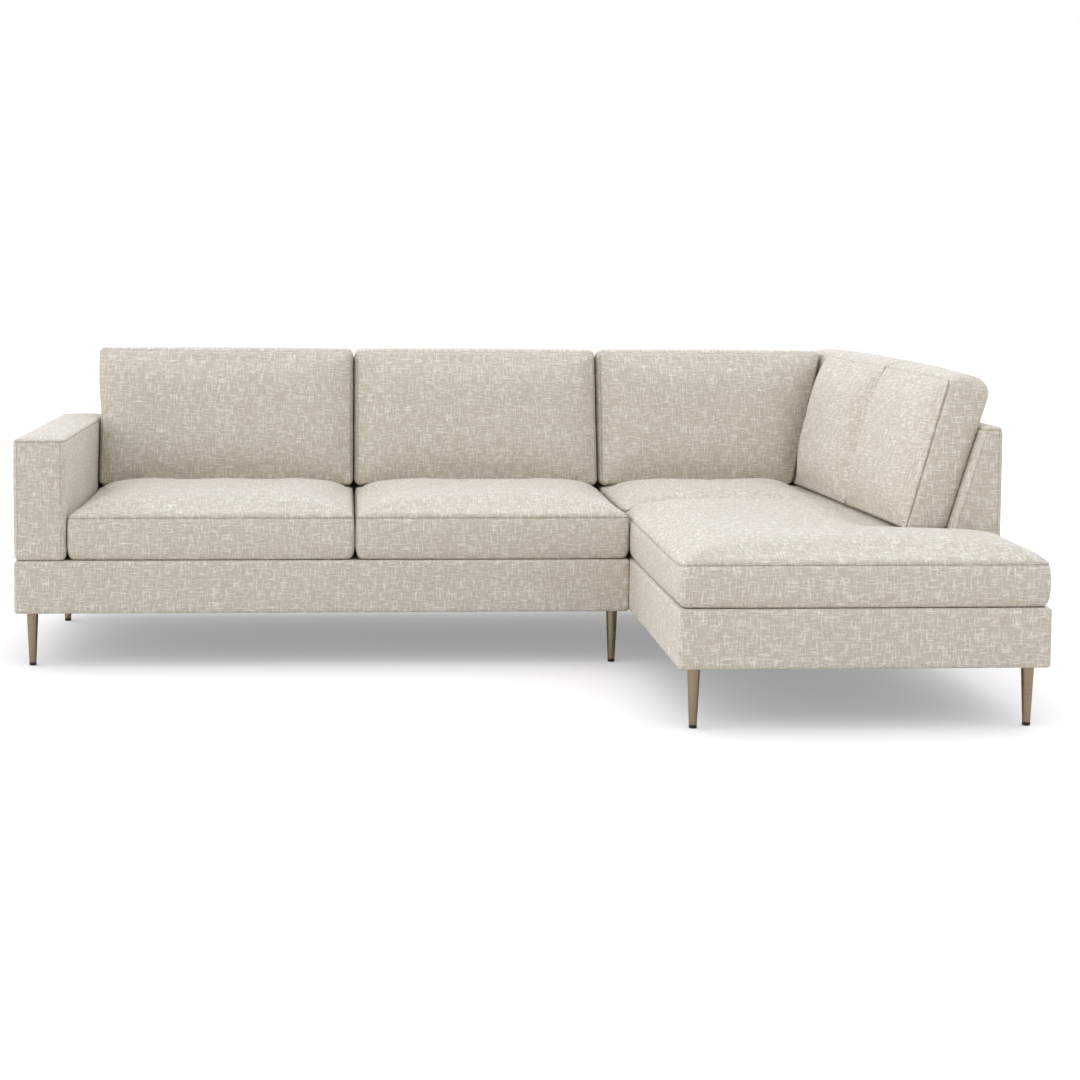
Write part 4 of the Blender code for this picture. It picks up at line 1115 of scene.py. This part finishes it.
# %% Legs and glides
LEG_TOP_RADIUS = 15.3 * MM
LEG_FOOT_RADIUS = 9.5 * MM
GLIDE_HEIGHT = 8 * MM
GLIDE_STEM = 12 * MM
STUD_RADIUS = 4 * MM
CLEARANCE = 0.3 * MM
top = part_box("loveseat_dust_cover")[0].z - CLEARANCE
bore = STUD_RADIUS + CLEARANCE
bore_top = GLIDE_HEIGHT + GLIDE_STEM + CLEARANCE
glide_profile = [
    (0, 0), (LEG_FOOT_RADIUS - 2 * MM, 0), (LEG_FOOT_RADIUS - 0.8 * MM, 0.4 * MM),
    (LEG_FOOT_RADIUS - 0.2 * MM, 1.4 * MM), (LEG_FOOT_RADIUS, 2.4 * MM), (LEG_FOOT_RADIUS, GLIDE_HEIGHT),
    (STUD_RADIUS, GLIDE_HEIGHT), (STUD_RADIUS, GLIDE_HEIGHT + GLIDE_STEM), (0, GLIDE_HEIGHT + GLIDE_STEM)]
legs = [name for name in nodes if name.endswith("_leg")]
for name in legs:
    low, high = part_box(name)
    centre = ((low.x + high.x) / 2, (low.y + high.y) / 2)
    leg = turned(name + "_turned", [
        (0, bore_top), (bore, bore_top), (bore, low.z), (LEG_FOOT_RADIUS - 0.5 * MM, low.z),
        (LEG_FOOT_RADIUS, low.z + 0.5 * MM), (LEG_TOP_RADIUS, top - 0.6 * MM),
        (LEG_TOP_RADIUS - 0.6 * MM, top), (STUD_RADIUS, top), (STUD_RADIUS, high.z - 0.8 * MM),
        (STUD_RADIUS - 0.8 * MM, high.z), (0, high.z)], centre)
    dress(leg, bronze, "leg_metal", "frame", name)
    glide = turned(name + "_glide_turned", glide_profile, centre)
    dress(glide, nylon, "glide_nylon", "frame", name.replace("_leg", "_glide"))
print(len(legs), "legs")

# %% [markdown]
# ## Studio
# The sofa stands on a white floor that runs away to white. For the camera the sky is pure white, while what
# lights the sofa is a soft dome, brighter overhead, on the left, as from a large window, and behind on the
# right. In front, where the photographer stands, it is darker. A dome throws no hard shadow, only the soft
# dark under the base. Lamps could do the same, but each would need its place, its size and its level.

# %% Floor
FLOOR_SIZE = 40.0
FLOOR_GLOW = 0.30
WHITE = (1, 1, 1, 1)


def studio_floor(name):
    """Matt paper: white to the camera, with a little light of its own there, and grey where it lights."""
    made, tree = new_material(name)
    path = add_node(tree, "LightPath")
    seen = add_node(tree, "Math", {0: path.outputs["Is Camera Ray"], 1: path.outputs["Is Glossy Ray"]},
                    operation="MAXIMUM")
    paper = add_node(tree, "Mix", {0: seen, 6: linear("dbd7d0"), 7: linear("dcd8d3")}, data_type="RGBA")
    glow = add_node(tree, "Math", {0: path.outputs["Is Camera Ray"], 1: FLOOR_GLOW}, operation="MULTIPLY")
    shader = add_node(tree, "BsdfPrincipled", {
        "Base Color": paper.outputs[2], "Roughness": 1.0, "Specular IOR Level": 0.0, "Emission Color": WHITE,
        "Emission Strength": glow})
    add_node(tree, "OutputMaterial", {0: shader})
    return made


half = FLOOR_SIZE / 2
floor = mesh_object("studio_floor", [(-half, -half, 0), (half, -half, 0), (half, half, 0), (-half, half, 0)],
                    [(0, 1, 2, 3)])
floor.data.materials.append(studio_floor("white_paper"))
floor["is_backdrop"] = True
print("floor", FLOOR_SIZE, "m wide")

# %% Sky
DOME_LEVEL = 1.15
ZENITH_TINT = (1.08, 1.13, 1.27, 1.0)  # light from straight above is brighter and a little cooler
WINDOW = (Vector((-0.96, -0.16, -0.22)).normalized(), 0.74)  # which way it lies, and what it adds
REAR_WALL = (Vector((0.72, 0.57, 0.40)).normalized(), 0.46)
DARK_WALL = (Vector((0.45, -0.88, 0.10)).normalized(), -0.50)

world = bpy.data.worlds.new("studio_dome")
bpy.context.scene.world = world
world.use_nodes = True
tree = world.node_tree
tree.nodes.clear()
way = add_node(tree, "TexCoord").outputs["Generated"]
level = DOME_LEVEL
for side, gain in (WINDOW, REAR_WALL, DARK_WALL):
    toward = add_node(tree, "VectorMath", {0: way, 1: side}, operation="DOT_PRODUCT")
    lit = add_node(tree, "Math", {0: toward.outputs["Value"], 1: 0.0}, operation="MAXIMUM")
    level = add_node(tree, "Math", {0: lit, 1: gain, 2: level}, operation="MULTIPLY_ADD")
path = add_node(tree, "LightPath")
seen = add_node(tree, "Math", {0: path.outputs["Is Camera Ray"], 1: path.outputs["Is Transmission Ray"]},
                operation="MAXIMUM")
strength = add_node(tree, "Mix", {0: seen, 2: level, 3: 1.0}, data_type="FLOAT")
upwards = add_node(tree, "SeparateXYZ", {0: way}).outputs[2]
above = add_node(tree, "Math", {0: upwards, 1: 0.0}, operation="MAXIMUM")
tint = add_node(tree, "Mix", {0: above, 6: WHITE, 7: ZENITH_TINT}, data_type="RGBA")
colour = add_node(tree, "Mix", {0: seen, 6: tint.outputs[2], 7: WHITE}, data_type="RGBA")
sky = add_node(tree, "Background", {"Color": colour.outputs[2], "Strength": strength})
add_node(tree, "OutputWorld", {0: sky})
bpy.context.scene.view_settings.view_transform = "Standard"
print("dome at", DOME_LEVEL, "with", WINDOW[1], "more on the left and", REAR_WALL[1], "more behind")

# %% [markdown]
# ## Camera
# The photograph was taken level, square to the front, from well to the left of the sofa's middle, and then
# cropped, which is a shifted lens. A large shift would push the sofa out of every other view, so a part of it
# is left out, and the camera turns and tips four degrees instead, which moves a point by a few pixels.

# %% Camera
LENS = 66.54
SENSOR = 36.0
IMAGE = 1080
VANISHING = (346.2, 269.9)  # where lines running away from the viewer meet, in the photograph's pixels
EYE = Vector((-0.3890, -5.4017, 1.0683))
TURN = math.radians(4.0)
TIP = math.radians(4.0)
ROLL = math.radians(-0.436)

focal = LENS / SENSOR * IMAGE
camera_data = bpy.data.cameras.new("camera")
camera = bpy.data.objects.new("camera", camera_data)
bpy.context.scene.collection.objects.link(camera)
camera_data.lens = LENS
camera_data.sensor_width = SENSOR
camera_data.shift_x = (IMAGE / 2 - VANISHING[0] - focal * math.tan(TURN)) / IMAGE
camera_data.shift_y = -(IMAGE / 2 - VANISHING[1] - focal * math.tan(TIP)) / IMAGE
camera.location = EYE
camera.rotation_euler = Euler((math.radians(90) - TIP, ROLL, -TURN), "XYZ")
bpy.context.scene.camera = camera
print("shift", round(camera_data.shift_x, 4), round(camera_data.shift_y, 4))

# %% Sizes and finish
low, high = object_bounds()
print("visual size", [round(side, 3) for side in high - low])
